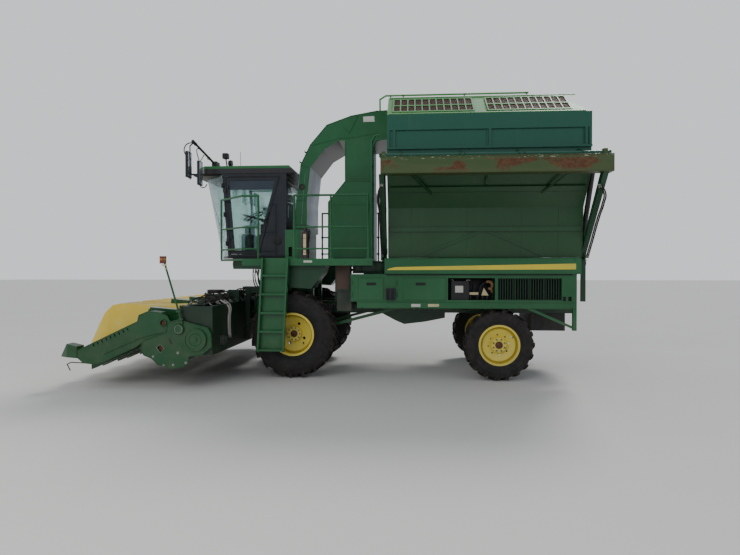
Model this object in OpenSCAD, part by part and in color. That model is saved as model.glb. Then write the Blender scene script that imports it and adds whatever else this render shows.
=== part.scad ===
// Self-propelled cotton stripper with a six row header, a cab, an arched air duct
// and a high basket that tips to its left side.
// The front of the machine points to -X and its left side to -Y. Lengths are in millimetres.
// The modules are drawn with X = 0 over the front axle; on_frame() moves them to the part's own frame.

/* [Overall] */
// Length from the header's snouts to the end of the basket beam
overall_l = 8184; // [7900:1:8500]
// Front axle, ahead of the middle of the overall length
front_axle_ahead = 756; // [700:1:800]
// Distance between the axles
wheelbase = 3360; // [3300:1:3420]

/* [Front wheels] */
// Diameter over the lugs of a front tyre
front_tyre_d = 1450; // [1400:1:1460]
// Width of a front tyre
front_tyre_w = 467; // [420:1:470]
// Track of the front wheels
front_track = 2130; // [2120:1:2160]
// Radius of a front rim's seat
front_seat_r = 335; // [320:1:345]

/* [Rear wheels] */
// Diameter over the lugs of a rear tyre
rear_tyre_d = 1150; // [1100:1:1152]
// Width of a rear tyre
rear_tyre_w = 315; // [290:1:320]
// Track of the rear wheels
rear_track = 2290; // [2280:1:2330]
// Radius of a rear rim's seat
rear_seat_r = 308; // [295:1:312]
// Distance of each kingpin from the middle plane
kingpin_y = 850; // [840:1:855]

/* [Chassis] */
// Height of the underside of the main rails
rail_z0 = 1040; // [1035:1:1060]
// Height of a main rail
rail_h = 200; // [160:1:220]
// Distance of each rail's middle from the middle plane
rail_y = 450; // [440:1:460]
// Width of a main rail
rail_w = 120; // [100:1:130]
// Outer face of the sills along both sides
sill_y = 1250; // [1230:1:1255]
// Underside of the sills
sill_z0 = 1160; // [1158:1:1175]
// Height of the sills
sill_h = 110; // [90:1:115]

/* [Cab] */
// Height of the cab's floor
cab_floor_z = 2030; // [2010:1:2050]
// Half width of the cab
cab_half_w = 830; // [800:1:832]
// Thickness of the cab's walls and posts
cab_wall = 50; // [40:1:60]
// Underside of the cab's roof
cab_roof_z = 3460; // [3440:1:3480]

/* [Deck] */
// Height of the deck's top
deck_z = 1970; // [1960:1:1980]
// Outer edge of the deck
deck_y = 1450; // [1420:1:1460]
// Radius of the handrails
rail_r = 17; // [14:1:20]

/* [Basket] */
// Front wall of the basket
basket_x0 = 1571; // [1570:1:1580]
// How far the long beam stands out behind the basket
beam_over = 165; // [150:1:180]
// Underside of the basket
basket_z0 = 1990; // [1986:1:2000]
// Half width of the basket's floor
basket_low_y = 1150; // [1100:1:1170]
// Half width of the basket's upper part
basket_y = 1600; // [1560:1:1620]
// Height of the basket's eave
eave_z = 4200; // [4150:1:4230]
// Height of the lid above the eave
lid_rise = 450; // [420:1:480]
// Thickness of the basket's walls
basket_wall = 20; // [15:1:25]
// Distance of the pivot pipe from the middle plane
pivot_y = 2000; // [1990:1:2020]
// Height of the pivot pipe
pivot_z = 3490; // [3488:1:3500]
// Radius of the pivot pipe
pivot_r = 28; // [25:1:30]

/* [Header] */
// Number of rows
rows = 6; // [6:1:6]
// Distance between the rows
row_pitch = 762; // [750:1:770]
// Height of the lift hinge
lift_z = 1500; // [1480:1:1520]
// Distance of the lift hinge behind the front axle
lift_x = -350; // [-360:1:-340]
// Cross auger's distance ahead of the front axle
auger_ahead = 1204; // [1190:1:1210]
// Cross auger's height
auger_z = 763; // [750:1:775]
// Radius of the cross auger's flights
auger_r = 190; // [170:1:200]

/* [Hidden] */
$fn = 48;

green = "#2c6b3a";
dark_green = "#1d4429";
yellow = "#e6c83c";
black = "#202226";
rust = "#6f3c2c";
grey = "#8a8d8f";

// Gap of a running fit, and gap between faces that pass each other
run_gap = 0.05;
pass_gap = 5;
// Gap of pieces that rest against each other on different bodies
seat_gap = 0.3;

tip_x = -(overall_l / 2 - front_axle_ahead);
beam_x1 = overall_l / 2 + front_axle_ahead;
rail_z1 = rail_z0 + rail_h;
sill_z1 = sill_z0 + sill_h;
front_hub_z = front_tyre_d / 2;
rear_hub_z = rear_tyre_d / 2;
basket_x1 = beam_x1 - beam_over;
lid_z = eave_z + lid_rise;
spindle_r = 60;
auger_x = -auger_ahead;

// Planes of the two frames that carry the basket beam
post_w = 76;
front_post_x0 = basket_x0 - 29 - post_w;
rear_post_x0 = basket_x1 + 29;
beam_x0 = front_post_x0 + 26;

module on_frame() translate([-front_axle_ahead, 0, 0]) children();
module both_sides() {
    children();
    mirror([0, 1, 0]) children();
}
// Box between two corners
module slab(low, high) translate(low) cube(high - low);
// Sheet with an outline in X and Z, between two values of Y
module xz_plate(outline, y0, y1)
    translate([0, y1, 0]) rotate([90, 0, 0]) linear_extrude(y1 - y0) polygon(outline);
// Sheet with an outline in Y and Z, between two values of X
module yz_plate(outline, x0, x1)
    translate([x0, 0, 0]) rotate([90, 0, 90]) linear_extrude(x1 - x0) polygon(outline);
// Sheet with an outline in X and Y, between two heights
module xy_plate(outline, z0, z1) translate([0, 0, z0]) linear_extrude(z1 - z0) polygon(outline);
// Places children, drawn along +Z, at a and pointing to b
module aim(a, b) {
    d = b - a;
    translate(a) rotate([0, acos(d[2] / norm(d)), atan2(d[1], d[0])]) children();
}
module rod(a, b, r) aim(a, b) cylinder(h = norm(b - a), r = r);
// Square bar: w across the plane of travel, t in it
module bar(a, b, w, t) aim(a, b) translate([-t / 2, -w / 2, 0]) cube([t, w, norm(b - a)]);
// Tube through a list of points, with round corners
module pipe(points, r) {
    for (i = [0 : len(points) - 2]) rod(points[i], points[i + 1], r);
    for (i = [1 : len(points) - 2]) translate(points[i]) sphere(r = 1.04 * r);
}
module y_cylinder(x, z, y0, y1, r) translate([x, y0, z]) rotate([-90, 0, 0]) cylinder(h = y1 - y0, r = r);
module x_cylinder(x0, x1, y, z, r) translate([x0, y, z]) rotate([0, 90, 0]) cylinder(h = x1 - x0, r = r);

// Chassis
frame_x0 = -560;
frame_x1 = rear_post_x0 + post_w;
cross_members = [560, 1160, 2150, 4400];
outrigger_x = [1080, 1930, 2515, 4420];
cab_post_x = [-500, -260];
hitch_reach = 60;
hitch_x = frame_x1 + hitch_reach - 28;
hitch_r = 16;
module main_frame() color(dark_green) difference() {
    union() {
        both_sides() {
            slab([frame_x0, rail_y - rail_w / 2, rail_z0], [frame_x1, rail_y + rail_w / 2, rail_z1]);
            for (x = cab_post_x)
                slab([x, rail_y - 50, rail_z1], [x + 80, rail_y + 50, skirt_z0]);
        }
        for (x = cross_members)
            slab([x, -rail_y, rail_z0 + 20], [x + 80, rail_y, rail_z1 - 20]);
        slab([frame_x1 - 20, -rail_y, rail_z0], [frame_x1, rail_y, rail_z1]);
        slab([frame_x1, -90, rail_z0 + 60], [frame_x1 + hitch_reach, 90, rail_z0 + 100]);
        // belly guard under the clutch and gearbox
        xz_plate([[1300, rail_z0 + 40], [1668, 886], [1827, 819], [2212, 867], [2550, 937],
            [2550, rail_z0 + 40]], -330, 330);
    }
    translate([hitch_x, 0, rail_z0]) cylinder(h = rail_h, r = hitch_r);
}

// Pivots of the header's arms and pins of its lift cylinders, beside the rails
module lift_pivots() color(dark_green) both_sides() {
    slab([cab_post_x[0] + 80, rail_y - 40, lift_z - 70], [cab_post_x[1], rail_y + 40, lift_z + 70]);
    y_cylinder(lift_x, lift_z, rail_y + 40, lift_arm_y + 45, lift_pin_r);
    y_cylinder(lift_base[0], lift_base[1], rail_y + rail_w / 2, lift_arm_y - lift_barrel_r - eye_proud - seat_gap, 34);
}

final_drive_y = front_track / 2 - 225;
module front_axle() color(dark_green) {
    slab([-110, -final_drive_y, 820], [110, final_drive_y, rail_z0]);
    both_sides() {
        slab([-150, final_drive_y - 150, front_hub_z - 190], [150, final_drive_y - 20, rail_z0 - 20]);
        y_cylinder(0, front_hub_z, final_drive_y - 20, final_drive_y + 40, 150);
        y_cylinder(0, front_hub_z, final_drive_y + 40, front_track / 2 + 60, spindle_r);
    }
}

boss_r = 75;
boss_h = 250;
king_r = 32;
module rear_axle() color(dark_green) translate([wheelbase, 0, 0]) {
    difference() {
        union() {
            slab([-60, -kingpin_y, rear_hub_z - 100], [60, kingpin_y, rear_hub_z + 90]);
            both_sides() translate([0, kingpin_y, rear_hub_z - boss_h / 2]) cylinder(h = boss_h, r = boss_r);
            slab([-100, -180, rear_hub_z + 60], [100, 180, rail_z0 - 60]);
            slab([-100, -rail_y - 40, rail_z0 - 60], [100, rail_y + 40, rail_z0]);
        }
        both_sides() translate([0, kingpin_y, 0]) cylinder(h = rail_z0, r = king_r);
    }
}

plate_t = 40;
arm_reach = 240;
module knuckle() color(dark_green) translate([wheelbase, 0, 0]) {
    z0 = rear_hub_z - boss_h / 2 - 2 - plate_t;
    z1 = rear_hub_z + boss_h / 2 + 2;
    web_y0 = kingpin_y + boss_r + pass_gap;
    for (z = [z0, z1]) {
        translate([0, kingpin_y, z]) cylinder(h = plate_t, r = boss_r);
        slab([-boss_r, kingpin_y, z], [boss_r, web_y0 + 30, z + plate_t]);
    }
    translate([0, kingpin_y, z0]) cylinder(h = z1 + plate_t - z0, r = king_r - run_gap);
    slab([-boss_r, web_y0, z0], [boss_r, web_y0 + 30, z1 + plate_t]);
    y_cylinder(0, rear_hub_z, web_y0 + 30, rear_track / 2 + 60, spindle_r);
    slab([0, kingpin_y - 25, z0], [arm_reach + 30, kingpin_y + 25, z0 + plate_t]);
}
module rear_knuckle_left() mirror([0, 1, 0]) knuckle();
module rear_knuckle_right() knuckle();
tie_r = 20;
module tie_rod() color(black) {
    z = rear_hub_z - boss_h / 2 - 2 - plate_t - pass_gap - tie_r;
    x = wheelbase + arm_reach;
    y_cylinder(x, z, -kingpin_y, kingpin_y, tie_r);
    both_sides() translate([x, kingpin_y, z - tie_r]) cylinder(h = 2 * tie_r + pass_gap - seat_gap, r = 32);
}

// Wheels: one tyre and one rim, drawn about the Y axis with the outer side to +Y
tyre_wall = 28;
module tyre(d, w, seat_r, lugs, lug_h) {
    crown = d / 2 - lug_h;
    half = w / 2;
    bead = half - 34;
    shoulder = crown - 38;
    color(black) rotate([-90, 0, 0]) {
        rotate_extrude($fn = 72) polygon([
            [seat_r, -bead], [seat_r + 45, -bead], [(seat_r + crown) / 2, -half], [shoulder, -half + 8],
            [crown, -half * 0.62], [crown, half * 0.62], [shoulder, half - 8], [(seat_r + crown) / 2, half],
            [seat_r + 45, bead], [seat_r, bead], [seat_r, bead - tyre_wall],
            [seat_r + 45, bead - tyre_wall], [(seat_r + crown) / 2, half - tyre_wall],
            [shoulder - 12, half - 8 - tyre_wall], [crown - tyre_wall, 0],
            [shoulder - 12, tyre_wall + 8 - half], [(seat_r + crown) / 2, tyre_wall - half],
            [seat_r + 45, tyre_wall - bead], [seat_r, tyre_wall - bead]
        ]);
        for (side = [-1, 1], i = [0 : lugs - 1])
            rotate([0, 0, (i + side / 4) * 360 / lugs]) lug(d / 2, half, side, lug_h);
    }
}
// One tread lug, slanting from the middle of the tread back to the shoulder
module lug(r, half, side, h) {
    slant = 38;
    reach = half * 1.14;
    intersection() {
        translate([r - h - 12, 0, 0]) rotate([side * slant, 0, 0])
            translate([0, -18, side > 0 ? 4 : 4 - reach]) cube([h + 20, 36, reach - 8]);
        translate([0, 0, -half]) cylinder(h = 2 * half, r = r, $fn = 96);
    }
}
rim_t = 10;
// valve: [radius, angle] of the valve's hole; slots: how many openings, their circle's radius and their own
module rim(w, seat_r, dish_y, hub_y0, hub_y1, valve, slots) color(yellow) rotate([-90, 0, 0]) {
    half = w / 2 - 33.5;
    difference() {
        rim_form(half, seat_r, dish_y, hub_y0, hub_y1);
        rotate([0, 0, valve[1]]) translate([valve[0], 0, -half]) cylinder(h = 2 * half, r = 15);
        for (i = [0 : slots[0] - 1]) rotate([0, 0, valve[1] + 70 + i * 360 / slots[0]])
            translate([slots[1], 0, -half]) cylinder(h = 2 * half, r = slots[2]);
    }
}
module rim_form(half, seat_r, dish_y, hub_y0, hub_y1) {
    rotate_extrude($fn = 72) {
        polygon([
            [seat_r - 0.3 - rim_t, -half - rim_t], [seat_r + 22, -half - rim_t], [seat_r + 22, -half],
            [seat_r - 0.3, -half], [seat_r - 0.3, half], [seat_r + 22, half], [seat_r + 22, half + rim_t],
            [seat_r - 0.3 - rim_t, half + rim_t]
        ]);
        polygon([
            [spindle_r + run_gap, hub_y0], [150, hub_y0], [150, dish_y - 8], [seat_r - 60, dish_y + 30],
            [seat_r - 5, dish_y - 20], [seat_r - 5, dish_y + 8], [seat_r - 50, dish_y + 58],
            [130, dish_y + 14], [120, hub_y1], [spindle_r + run_gap, hub_y1]
        ]);
    }
}
front_lugs = 20;
rear_lugs = 18;
module front_tyre() translate([0, front_track / 2, front_hub_z])
    tyre(front_tyre_d, front_tyre_w, front_seat_r, front_lugs, 42);
module front_rim() translate([0, front_track / 2, front_hub_z])
    rim(front_tyre_w, front_seat_r, 20, -60, 90, [216, 45], [4, 180, 24]);
module rear_tyre() translate([wheelbase, rear_track / 2, rear_hub_z])
    tyre(rear_tyre_d, rear_tyre_w, rear_seat_r, rear_lugs, 34);
module rear_rim() translate([wheelbase, rear_track / 2, rear_hub_z])
    rim(rear_tyre_w, rear_seat_r, 20, -60, 90, [240, -32], [8, 165, 13]);
module front_tyre_left() mirror([0, 1, 0]) front_tyre();
module front_tyre_right() front_tyre();
module front_rim_left() mirror([0, 1, 0]) front_rim();
module front_rim_right() front_rim();
module rear_tyre_left() mirror([0, 1, 0]) rear_tyre();
module rear_tyre_right() rear_tyre();
module rear_rim_left() mirror([0, 1, 0]) rear_rim();
module rear_rim_right() rear_rim();

// Sides of the body, below the basket
band_z0 = 1720;
band_z1 = 1980;
band_x0 = 1518;
panel_x0 = 960;
body_x0 = 1065;
body_x1 = basket_x1 - 107;
band_x1 = basket_x1 - 53;
foot_z = 817;
module side_frames() color(green) both_sides() {
    y0 = sill_y - 60;
    slab([body_x0, y0, sill_z0], [body_x1, sill_y, sill_z1]);
    slab([body_x1 - 60, y0, foot_z], [body_x1, sill_y, sill_z0]);
    slab([body_x0, y0, sill_z1], [body_x0 + 60, panel_y - panel_t, band_z0]);
    slab([body_x1 - 60, y0, sill_z1], [body_x1, sill_y, band_z0]);
    bar([body_x1 - 40, y0 + 30, foot_z + 40], [3820, y0 + 30, sill_z0 + 10], 40, 40);
    for (x = outrigger_x) slab([x, rail_y + rail_w / 2, sill_z0 + 2], [x + 80, y0, rail_z1]);
    // stay from the final drive back to the second outrigger
    xz_plate([[150, 700], [150, 750], [outrigger_x[1] + 35, 1230], [outrigger_x[1] + 35, 1180]], 735, 785);
}

// Bays between the sill and the band: [front, rear, kind]
bays = [[1719, 2494, "door"], [2542, 3291, "open"], [3339, 4343, "grille"]];
front_bay = [990, 1491];
panel_y = sill_y;
panel_t = 20;
bay_z0 = 1300;
bay_z1 = 1656;
module side_panels() color(green) both_sides() {
    // band with the stripe, its lower lip and its top flange
    slab([band_x0, 1280, band_z0], [band_x1, 1300, band_z1]);
    slab([band_x0, 1190, band_z1 - 15], [band_x1, 1280, band_z1]);
    slab([band_x0, 1190, band_z0], [band_x1, 1280, band_z0 + 15]);
    difference() {
        slab([panel_x0, panel_y - panel_t, sill_z1], [body_x1 - 60, panel_y, band_z0]);
        for (b = bays) slab([b[0], 0, bay_z0], [b[1], 2000, bay_z1]);
        slab([front_bay[0], 0, bay_z0], [front_bay[1], 2000, bay_z1]);
        for (x = [4350, 4440]) slab([x, 0, 1290], [x + 55, 2000, 1360]);
    }
    // tray and back of the open bay
    slab([2520, 900, sill_z1 + 5], [3305, panel_y - panel_t, sill_z1 + 25]);
    slab([2520, 880, sill_z1 + 5], [3305, 900, band_z0]);
}
module side_stripes() color(yellow) both_sides() xz_plate([[1560, 1790], [1600, 1812], [1700, 1833],
    [band_x1 - 84, 1887], [band_x1 - 84, 1795], [1560, 1785]], 1300, 1303);

slat_n = 24;
module radiator_grille() both_sides() {
    b = bays[2];
    y0 = panel_y - panel_t - 60;
    color(green) difference() {
        slab([b[0] - 30, y0, bay_z0 - 20], [b[1] + 30, panel_y - panel_t, bay_z1 + 20]);
        slab([b[0] + 10, 0, bay_z0 + 10], [b[1] - 10, 2000, bay_z1 - 10]);
    }
    color(green) for (i = [1 : slat_n]) {
        x = b[0] + i * (b[1] - b[0]) / (slat_n + 1);
        slab([x - 5, y0 + 20, bay_z0 + 10], [x + 5, y0 + 55, bay_z1 - 10]);
    }
    color(black) slab([b[0] - 30, y0 - 120, bay_z0 - 20], [b[1] + 30, y0, bay_z1 + 20]);
}
module engine_block() color(grey) {
    slab([2400, -370, rail_z1 + 20], [3500, 370, 1780]);
    both_sides() for (x = [2500, 3300]) slab([x, rail_y - 120, rail_z1], [x + 100, rail_y - 30, rail_z1 + 20]);
    // oil tank under the deck, behind the left front wheel
    slab([700, -1150, 1433], [940, -870, deck_z - 30]);
    slab([720, -1130, 1110], [960, -890, 1433]);
}
module fuel_tank() color(black) difference() {
    slab([4010, -520, 740], [4590, 520, rail_z0]);
    translate([4300, 0, 0]) slab([-400, -60, 700], [400, 60, 780]);
}
module battery() color(black) {
    slab([2600, -1200, sill_z1 + 25], [2880, -960, 1604]);
    // black relay box on the side, ahead of the rear service door
    slab([1538, -1320, 1300], [1686, -sill_y, 1487]);
}

// Cab
a_top = [-1331, cab_roof_z];
a_low = [-1225, 1990];
cab_x1 = -200;
skirt_z0 = 1805;
// Door opening in X and Z: front top, rear top, rear low, front low
door_hole = [[-1283, 3410], [-305, 3410], [-670, 2060], [-1186, 2060]];
bow_top = 508;
bow_low = 311;
// Radius of an arc through the two front posts that stands out by the bow
function bow_radius(half, bow) = (half * half + bow * bow) / (2 * bow);
function bow_points(half, bow, x0, n) = let (r = bow_radius(half, bow), a = asin(half / r))
    [for (i = [0 : n]) let (t = -a + 2 * a * i / n) [x0 - bow + r - r * cos(t), r * sin(t)]];
module cab_plan(x_front, bow, z0, z1, x_rear, half)
    xy_plate(concat(bow_points(half, bow, x_front, 16), [[x_rear, half], [x_rear, -half]]), z0, z1);

module cab_shell() color(black) {
    half = cab_half_w;
    difference() {
        union() {
            both_sides() xz_plate([a_low, [cab_x1, 1990], [cab_x1, cab_roof_z], a_top], half - cab_wall, half);
            slab([cab_x1 - cab_wall, -half, 1990], [cab_x1, half, cab_roof_z]);
        }
        // door opening on the left, window of the same outline on the right
        xz_plate(door_hole, -half - 1, half + 1);
        // rear window
        slab([-400, -half + 140, 2700], [0, half - 140, 3330]);
    }
    cab_plan(a_low[0], bow_low, 1990, cab_floor_z, cab_x1, half);
    color(green) slab([-1160, -half + 60, skirt_z0], [cab_x1 - 30, half - 60, 1990]);
    door_hinges() {
        cylinder(h = hinge_h, r = hinge_r);
        translate([10, -24, 0]) cube([40, 26, hinge_h]);
        cylinder(h = 2 * hinge_h + 8, r = hinge_pin_r);
    }
}
module cab_roof() color(green) {
    front = -1640;
    intersection() {
        cab_plan(front, 300, cab_roof_z, 3590, -25, cab_half_w + 20);
        xz_plate([[front - 400, cab_roof_z], [-25, cab_roof_z], [-25, 3470], [-150, 3590], [front - 400, 3590]],
            -1000, 1000);
    }
}
glass_t = 8;
module cab_glass() color("#9fd0c4") {
    half = cab_half_w;
    z0 = cab_floor_z;
    z1 = cab_roof_z;
    // bowed windscreen from post to post
    difference() {
        hull() {
            translate([a_low[0] - 4, 0, 0]) cab_slice(half, bow_low, 0, z0, 0.5);
            translate([a_top[0] - 4, 0, 0]) cab_slice(half, bow_top, 0, z1 - 0.5, 0.5);
        }
        hull() {
            translate([a_low[0] - 4, 0, 0]) cab_slice(half - 14, bow_low - glass_t, 30, z0 - 1, 0.5);
            translate([a_top[0] - 4, 0, 0]) cab_slice(half - 14, bow_top - glass_t, 30, z1 + 0.5, 0.5);
        }
    }
    // right window and rear window, in their openings
    xz_plate(door_hole, half - 30, half - 30 + glass_t);
    slab([cab_x1 - 30, -half + 140, 2700], [cab_x1 - 30 + glass_t, half - 140, 3330]);
}
// Thin slice of the windscreen's plan, with its straight side moved back by tail
module cab_slice(half, bow, tail, z, t)
    xy_plate(concat(bow_points(half, bow, 0, 16), [[tail, half], [tail, -half]]), z, z + t);

door_gap = 5;
door_t = 40;
// Door hinges, on a line beside the front post and 20 mm outside the door's face
hinge_r = 16;
hinge_pin_r = 7;
hinge_h = 56;
module door_hinges() {
    p = door_ring(door_gap);
    a = [p[3][0], -cab_half_w - 20, p[3][1]];
    b = [p[0][0], -cab_half_w - 20, p[0][1]];
    for (t = [0.16, 0.8]) aim(a + t * (b - a), b) children();
}
module cab_door() color(black) {
    difference() {
        xz_plate(door_ring(door_gap), -cab_half_w, -cab_half_w + door_t);
        xz_plate(door_ring(70), -cab_half_w - 1, -cab_half_w + door_t + 1);
    }
    door_hinges() translate([0, 0, hinge_h + 1]) difference() {
        union() {
            cylinder(h = hinge_h, r = hinge_r);
            translate([-50, -24, 0]) cube([44, 26, hinge_h]);
        }
        translate([0, 0, -1]) cylinder(h = hinge_h + 2, r = hinge_pin_r + run_gap);
    }
}
// Corner points of the door, moved in by d from the opening's edge
function door_ring(d) = let (p = door_hole)
    [[p[0][0] + d, p[0][1] - d], [p[1][0] - 1.3 * d, p[1][1] - d],
     [p[2][0] - 0.8 * d, p[2][1] + d], [p[3][0] + d, p[3][1] + d]];
module door_glass() color("#9fd0c4")
    xz_plate(door_ring(70), -cab_half_w + 16, -cab_half_w + 24);

module seat() color(black) {
    slab([-800, -240, cab_floor_z], [-420, 240, cab_floor_z + 300]);
    slab([-860, -260, cab_floor_z + 300], [-400, 260, cab_floor_z + 420]);
    xz_plate([[-480, 2450], [-380, 2450], [-300, 3080], [-380, 3100]], -240, 240);
}
module steering_column() color(black) {
    xz_plate([[-1240, cab_floor_z], [-1120, cab_floor_z], [-980, 2720], [-1060, 2720]], -45, 45);
    aim([-1020, 0, 2720], [-985, 0, 2860]) {
        cylinder(h = 60, r = 30);
        translate([0, 0, 40]) difference() {
            cylinder(h = 30, r = 200);
            translate([0, 0, -1]) cylinder(h = 32, r = 175);
        }
        translate([-180, -20, 45]) cube([360, 40, 20]);
    }
    slab([-860, 300, cab_floor_z], [-420, 520, 2640]);
}

// Deck, rails and ladder
deck_x1 = 1333;
deck_in = cab_half_w + pass_gap;
front_deck = [[-1340, -deck_in], [-1340, -885], [-790, -deck_y], [-50, -deck_y], [-50, -deck_in]];
deck_beam_x = [130, 600, 1180];
module deck() color(green) {
    xy_plate(front_deck, deck_z - 30, deck_z);
    slab([-50, -deck_y, deck_z - 30], [deck_x1, -860, deck_z]);
    slab([-50, -deck_y, 1858], [deck_x1, -deck_y + 10, deck_z - 30]);
    slab([-50, 860, deck_z - 30], [deck_x1, deck_y, deck_z]);
    slab([-50, deck_y - 10, 1858], [deck_x1, deck_y, deck_z - 30]);
    for (x = deck_beam_x) {
        slab([x, -deck_y + 10, 1858], [x + 80, deck_y - 10, deck_z - 30]);
        both_sides() slab([x, rail_y - 40, rail_z1], [x + 80, rail_y + 40, 1858]);
    }
    slab([-790, -deck_y, 1858], [-50, -deck_y + 10, deck_z - 30]);
    slab([-700, -deck_y + 10, 1880], [-620, -cab_half_w + 60, deck_z - 30]);
}
rail_top = 2990;
rail_mid = 2480;
rail_low = 2130;
climb_x = 1300;
climb_y = [-1190, -880];
climb_n = 7;
module handrails() color(green) {
    y = deck_y - rail_r - 2;
    a = [-1320, -905];
    b = [-790, -y];
    c = [-525, -y];
    pipe([[a[0], a[1], deck_z], [a[0], a[1], rail_top], [b[0], b[1], rail_top], [c[0], c[1], rail_top],
        [c[0], c[1], deck_z]], rail_r);
    for (z = [rail_mid, rail_low]) pipe([[a[0], a[1], z], [b[0], b[1], z], [c[0], c[1], z]], rail_r - 3);
    both_sides() {
        pipe([[64, y, deck_z], [64, y, rail_top], [1260, y, rail_top], [1260, y, deck_z]], rail_r);
        for (z = [rail_mid, rail_low]) rod([64, y, z], [1260, y, z], rail_r - 3);
        rod([660, y, deck_z], [660, y, rail_top], rail_r - 1);
    }
    // ladder behind the cleaner, up to its roof
    for (y = climb_y) pipe([[climb_x, y, deck_z], [climb_x, y, 3890], [climb_x + 60, y, 3990],
        [climb_x + 130, y, 3990]], rail_r);
    for (i = [1 : climb_n]) rod([climb_x, climb_y[0], deck_z + 260 * i], [climb_x, climb_y[1], deck_z + 260 * i], rail_r - 6);
}
rung_n = 5;
rung_pitch = 300;
module ladder() color(green) {
    y0 = -deck_y - 100;
    lean = 82;
    top_z = 1980;
    low_z = 470;
    for (x = [-447, -37]) xz_plate(
        [[x, top_z], [x + 30, top_z], [x + 30 - lean, low_z], [x - lean, low_z]], y0, -deck_y);
    for (i = [0 : rung_n - 1]) {
        z = low_z + 10 + i * rung_pitch;
        x = -447 - lean * (top_z - z) / (top_z - low_z);
        slab([x + 15, y0 + 5, z], [x + 425, y0 + 70, z + 30]);
    }
    xz_plate([[-430, top_z], [-24, top_z], [-24 - lean, low_z], [-430 - lean, low_z]], -deck_y - 10, -deck_y);
}

// Air duct over the cab's back, and the cleaner that it feeds
duct_y = 600;
duct_wall = 12;
arch_out = [[-134, 2583], [9, 3642], [180, 3990], [472, 4330], [900, 4480], [1371, 4560], [1530, 4570]];
arch_in = [[1530, 4054], [684, 4054], [420, 3900], [177, 3586], [116, 3020], [116, 2583]];
module air_duct() color(green) difference() {
    xz_plate(concat(arch_out, arch_in), -duct_y, duct_y);
    xz_plate(concat(
        [[-134 + duct_wall, 2580], [9 + duct_wall, 3640], [190, 3984], [478, 4320], [902, 4468],
         [1371, 4548], [1600, 4558]],
        [[1600, 4054 + duct_wall], [680, 4054 + duct_wall], [412, 3912], [177 - duct_wall, 3590],
         [116 - duct_wall, 3020], [116 - duct_wall, 2580]]), -duct_y + duct_wall, duct_y - duct_wall);
}
low_duct_y = 380;
module lower_duct() color(dark_green) difference() {
    union() {
        xz_plate([[-134, 2583], [116, 2583], [116, 1480], [-300, 1080], [-900, 790], [-900, 1250],
            [-450, 1640], [-134, 1860]], -low_duct_y, low_duct_y);
        slab([-134, -duct_y, 2483], [116, duct_y, 2583]);
    }
    xz_plate([[-122, 2600], [104, 2600], [104, 1486], [-306, 1092], [-950, 780], [-950, 1190],
        [-442, 1630], [-122, 1852]], -low_duct_y + duct_wall, low_duct_y - duct_wall);
}
housing_y = 850;
module cleaner_housing() color(green) difference() {
    union() {
        xz_plate([[527, deck_z - 30], [1266, deck_z - 30], [1266, 3309], [820, 3309], [527, 2950]],
            -housing_y, housing_y);
        xz_plate([[790, 3280], [1266, 3280], [1266, 4054], [786, 4054]], -duct_y, duct_y);
    }
    slab([540, -housing_y + 12, deck_z - 18], [1254, housing_y - 12, 2900]);
}
module front_fenders() color(dark_green) both_sides() difference() {
    xz_plate([[-40, 1858], [-40, 1500], [320, 1480], [520, 1740], [560, 1858]], 870, 1320);
    xz_plate([[-28, 1900], [-28, 1512], [314, 1492], [508, 1744], [544, 1900]], 882, 1308);
}

module mirrors() color(black) both_sides() {
    pipe([[-1500, 700, 3590], [-1500, 700, 3650], [-1690, 1180, 3930]], 20);
    pipe([[-1690, 1180, 3930], [-1740, 1230, 3860], [-1740, 1230, 3300]], 10);
    slab([-1785, 1140, 3330], [-1745, 1320, 3760]);
    rod([-1595, 940, 3790], [-1570, 1230, 3590], 9);
    slab([-1590, 1150, 3200], [-1555, 1310, 3600]);
}
module lamps() {
    color(black) {
        x_cylinder(-1480, -1420, 0, 3800, 55);
        rod([-1450, 0, 3590], [-1450, 0, 3760], 12);
        rod([-1200, -200, 3590], [-1200, -200, 3970], 4);
    }
    color(grey) both_sides() {
        x_cylinder(-1230, -1160, 500, 1890, 55);
    }
}
module fire_extinguisher() color("#d8d8d8") {
    translate([230, -1340, deck_z]) {
        cylinder(h = 430, r = 62);
        translate([0, 0, 430]) cylinder(h = 50, r = 30);
    }
}
module equipment_box() color(green) difference() {
    slab([-140, -1200, deck_z], [120, -880, 2455]);
    slab([-80, -1300, deck_z + 40], [-20, -800, deck_z + 200]);
}

// Frames that carry the basket: two slanted posts on their legs, and floor beams between them
post_low_y = 930;
beam_z1 = pivot_z - pivot_r - 3;
beam_z0 = beam_z1 - 254;
floor_beam_w = 90;
module slanted_post(x) yz_plate([[-post_low_y, 1950], [-post_low_y + 110, 1950], [-pivot_y + 100, beam_z0],
    [-pivot_y - 60, beam_z0]], x, x + post_w);
module basket_posts() {
    color(dark_green) for (x = [front_post_x0, rear_post_x0]) {
        slanted_post(x);
        slab([x, -1000, 1850], [x + post_w, 1000, 1950]);
        both_sides() slab([x, 960, sill_z1], [x + post_w, 1000, 1850]);
        both_sides() slab([x, rail_y - 40, rail_z1], [x + post_w, rail_y + 40, 1850]);
    }
    // three floor beams, evenly spaced between the posts
    pitch = (rear_post_x0 - front_post_x0) / 4;
    color(dark_green) for (i = [1 : 3]) {
        x = front_post_x0 + i * pitch - floor_beam_w / 2;
        slab([x, -1100, 1870], [x + floor_beam_w, 1100, basket_z0 - 1]);
        both_sides() slab([x, rail_y - 40, rail_z1], [x + floor_beam_w, rail_y + 40, 1870]);
    }
}
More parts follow.
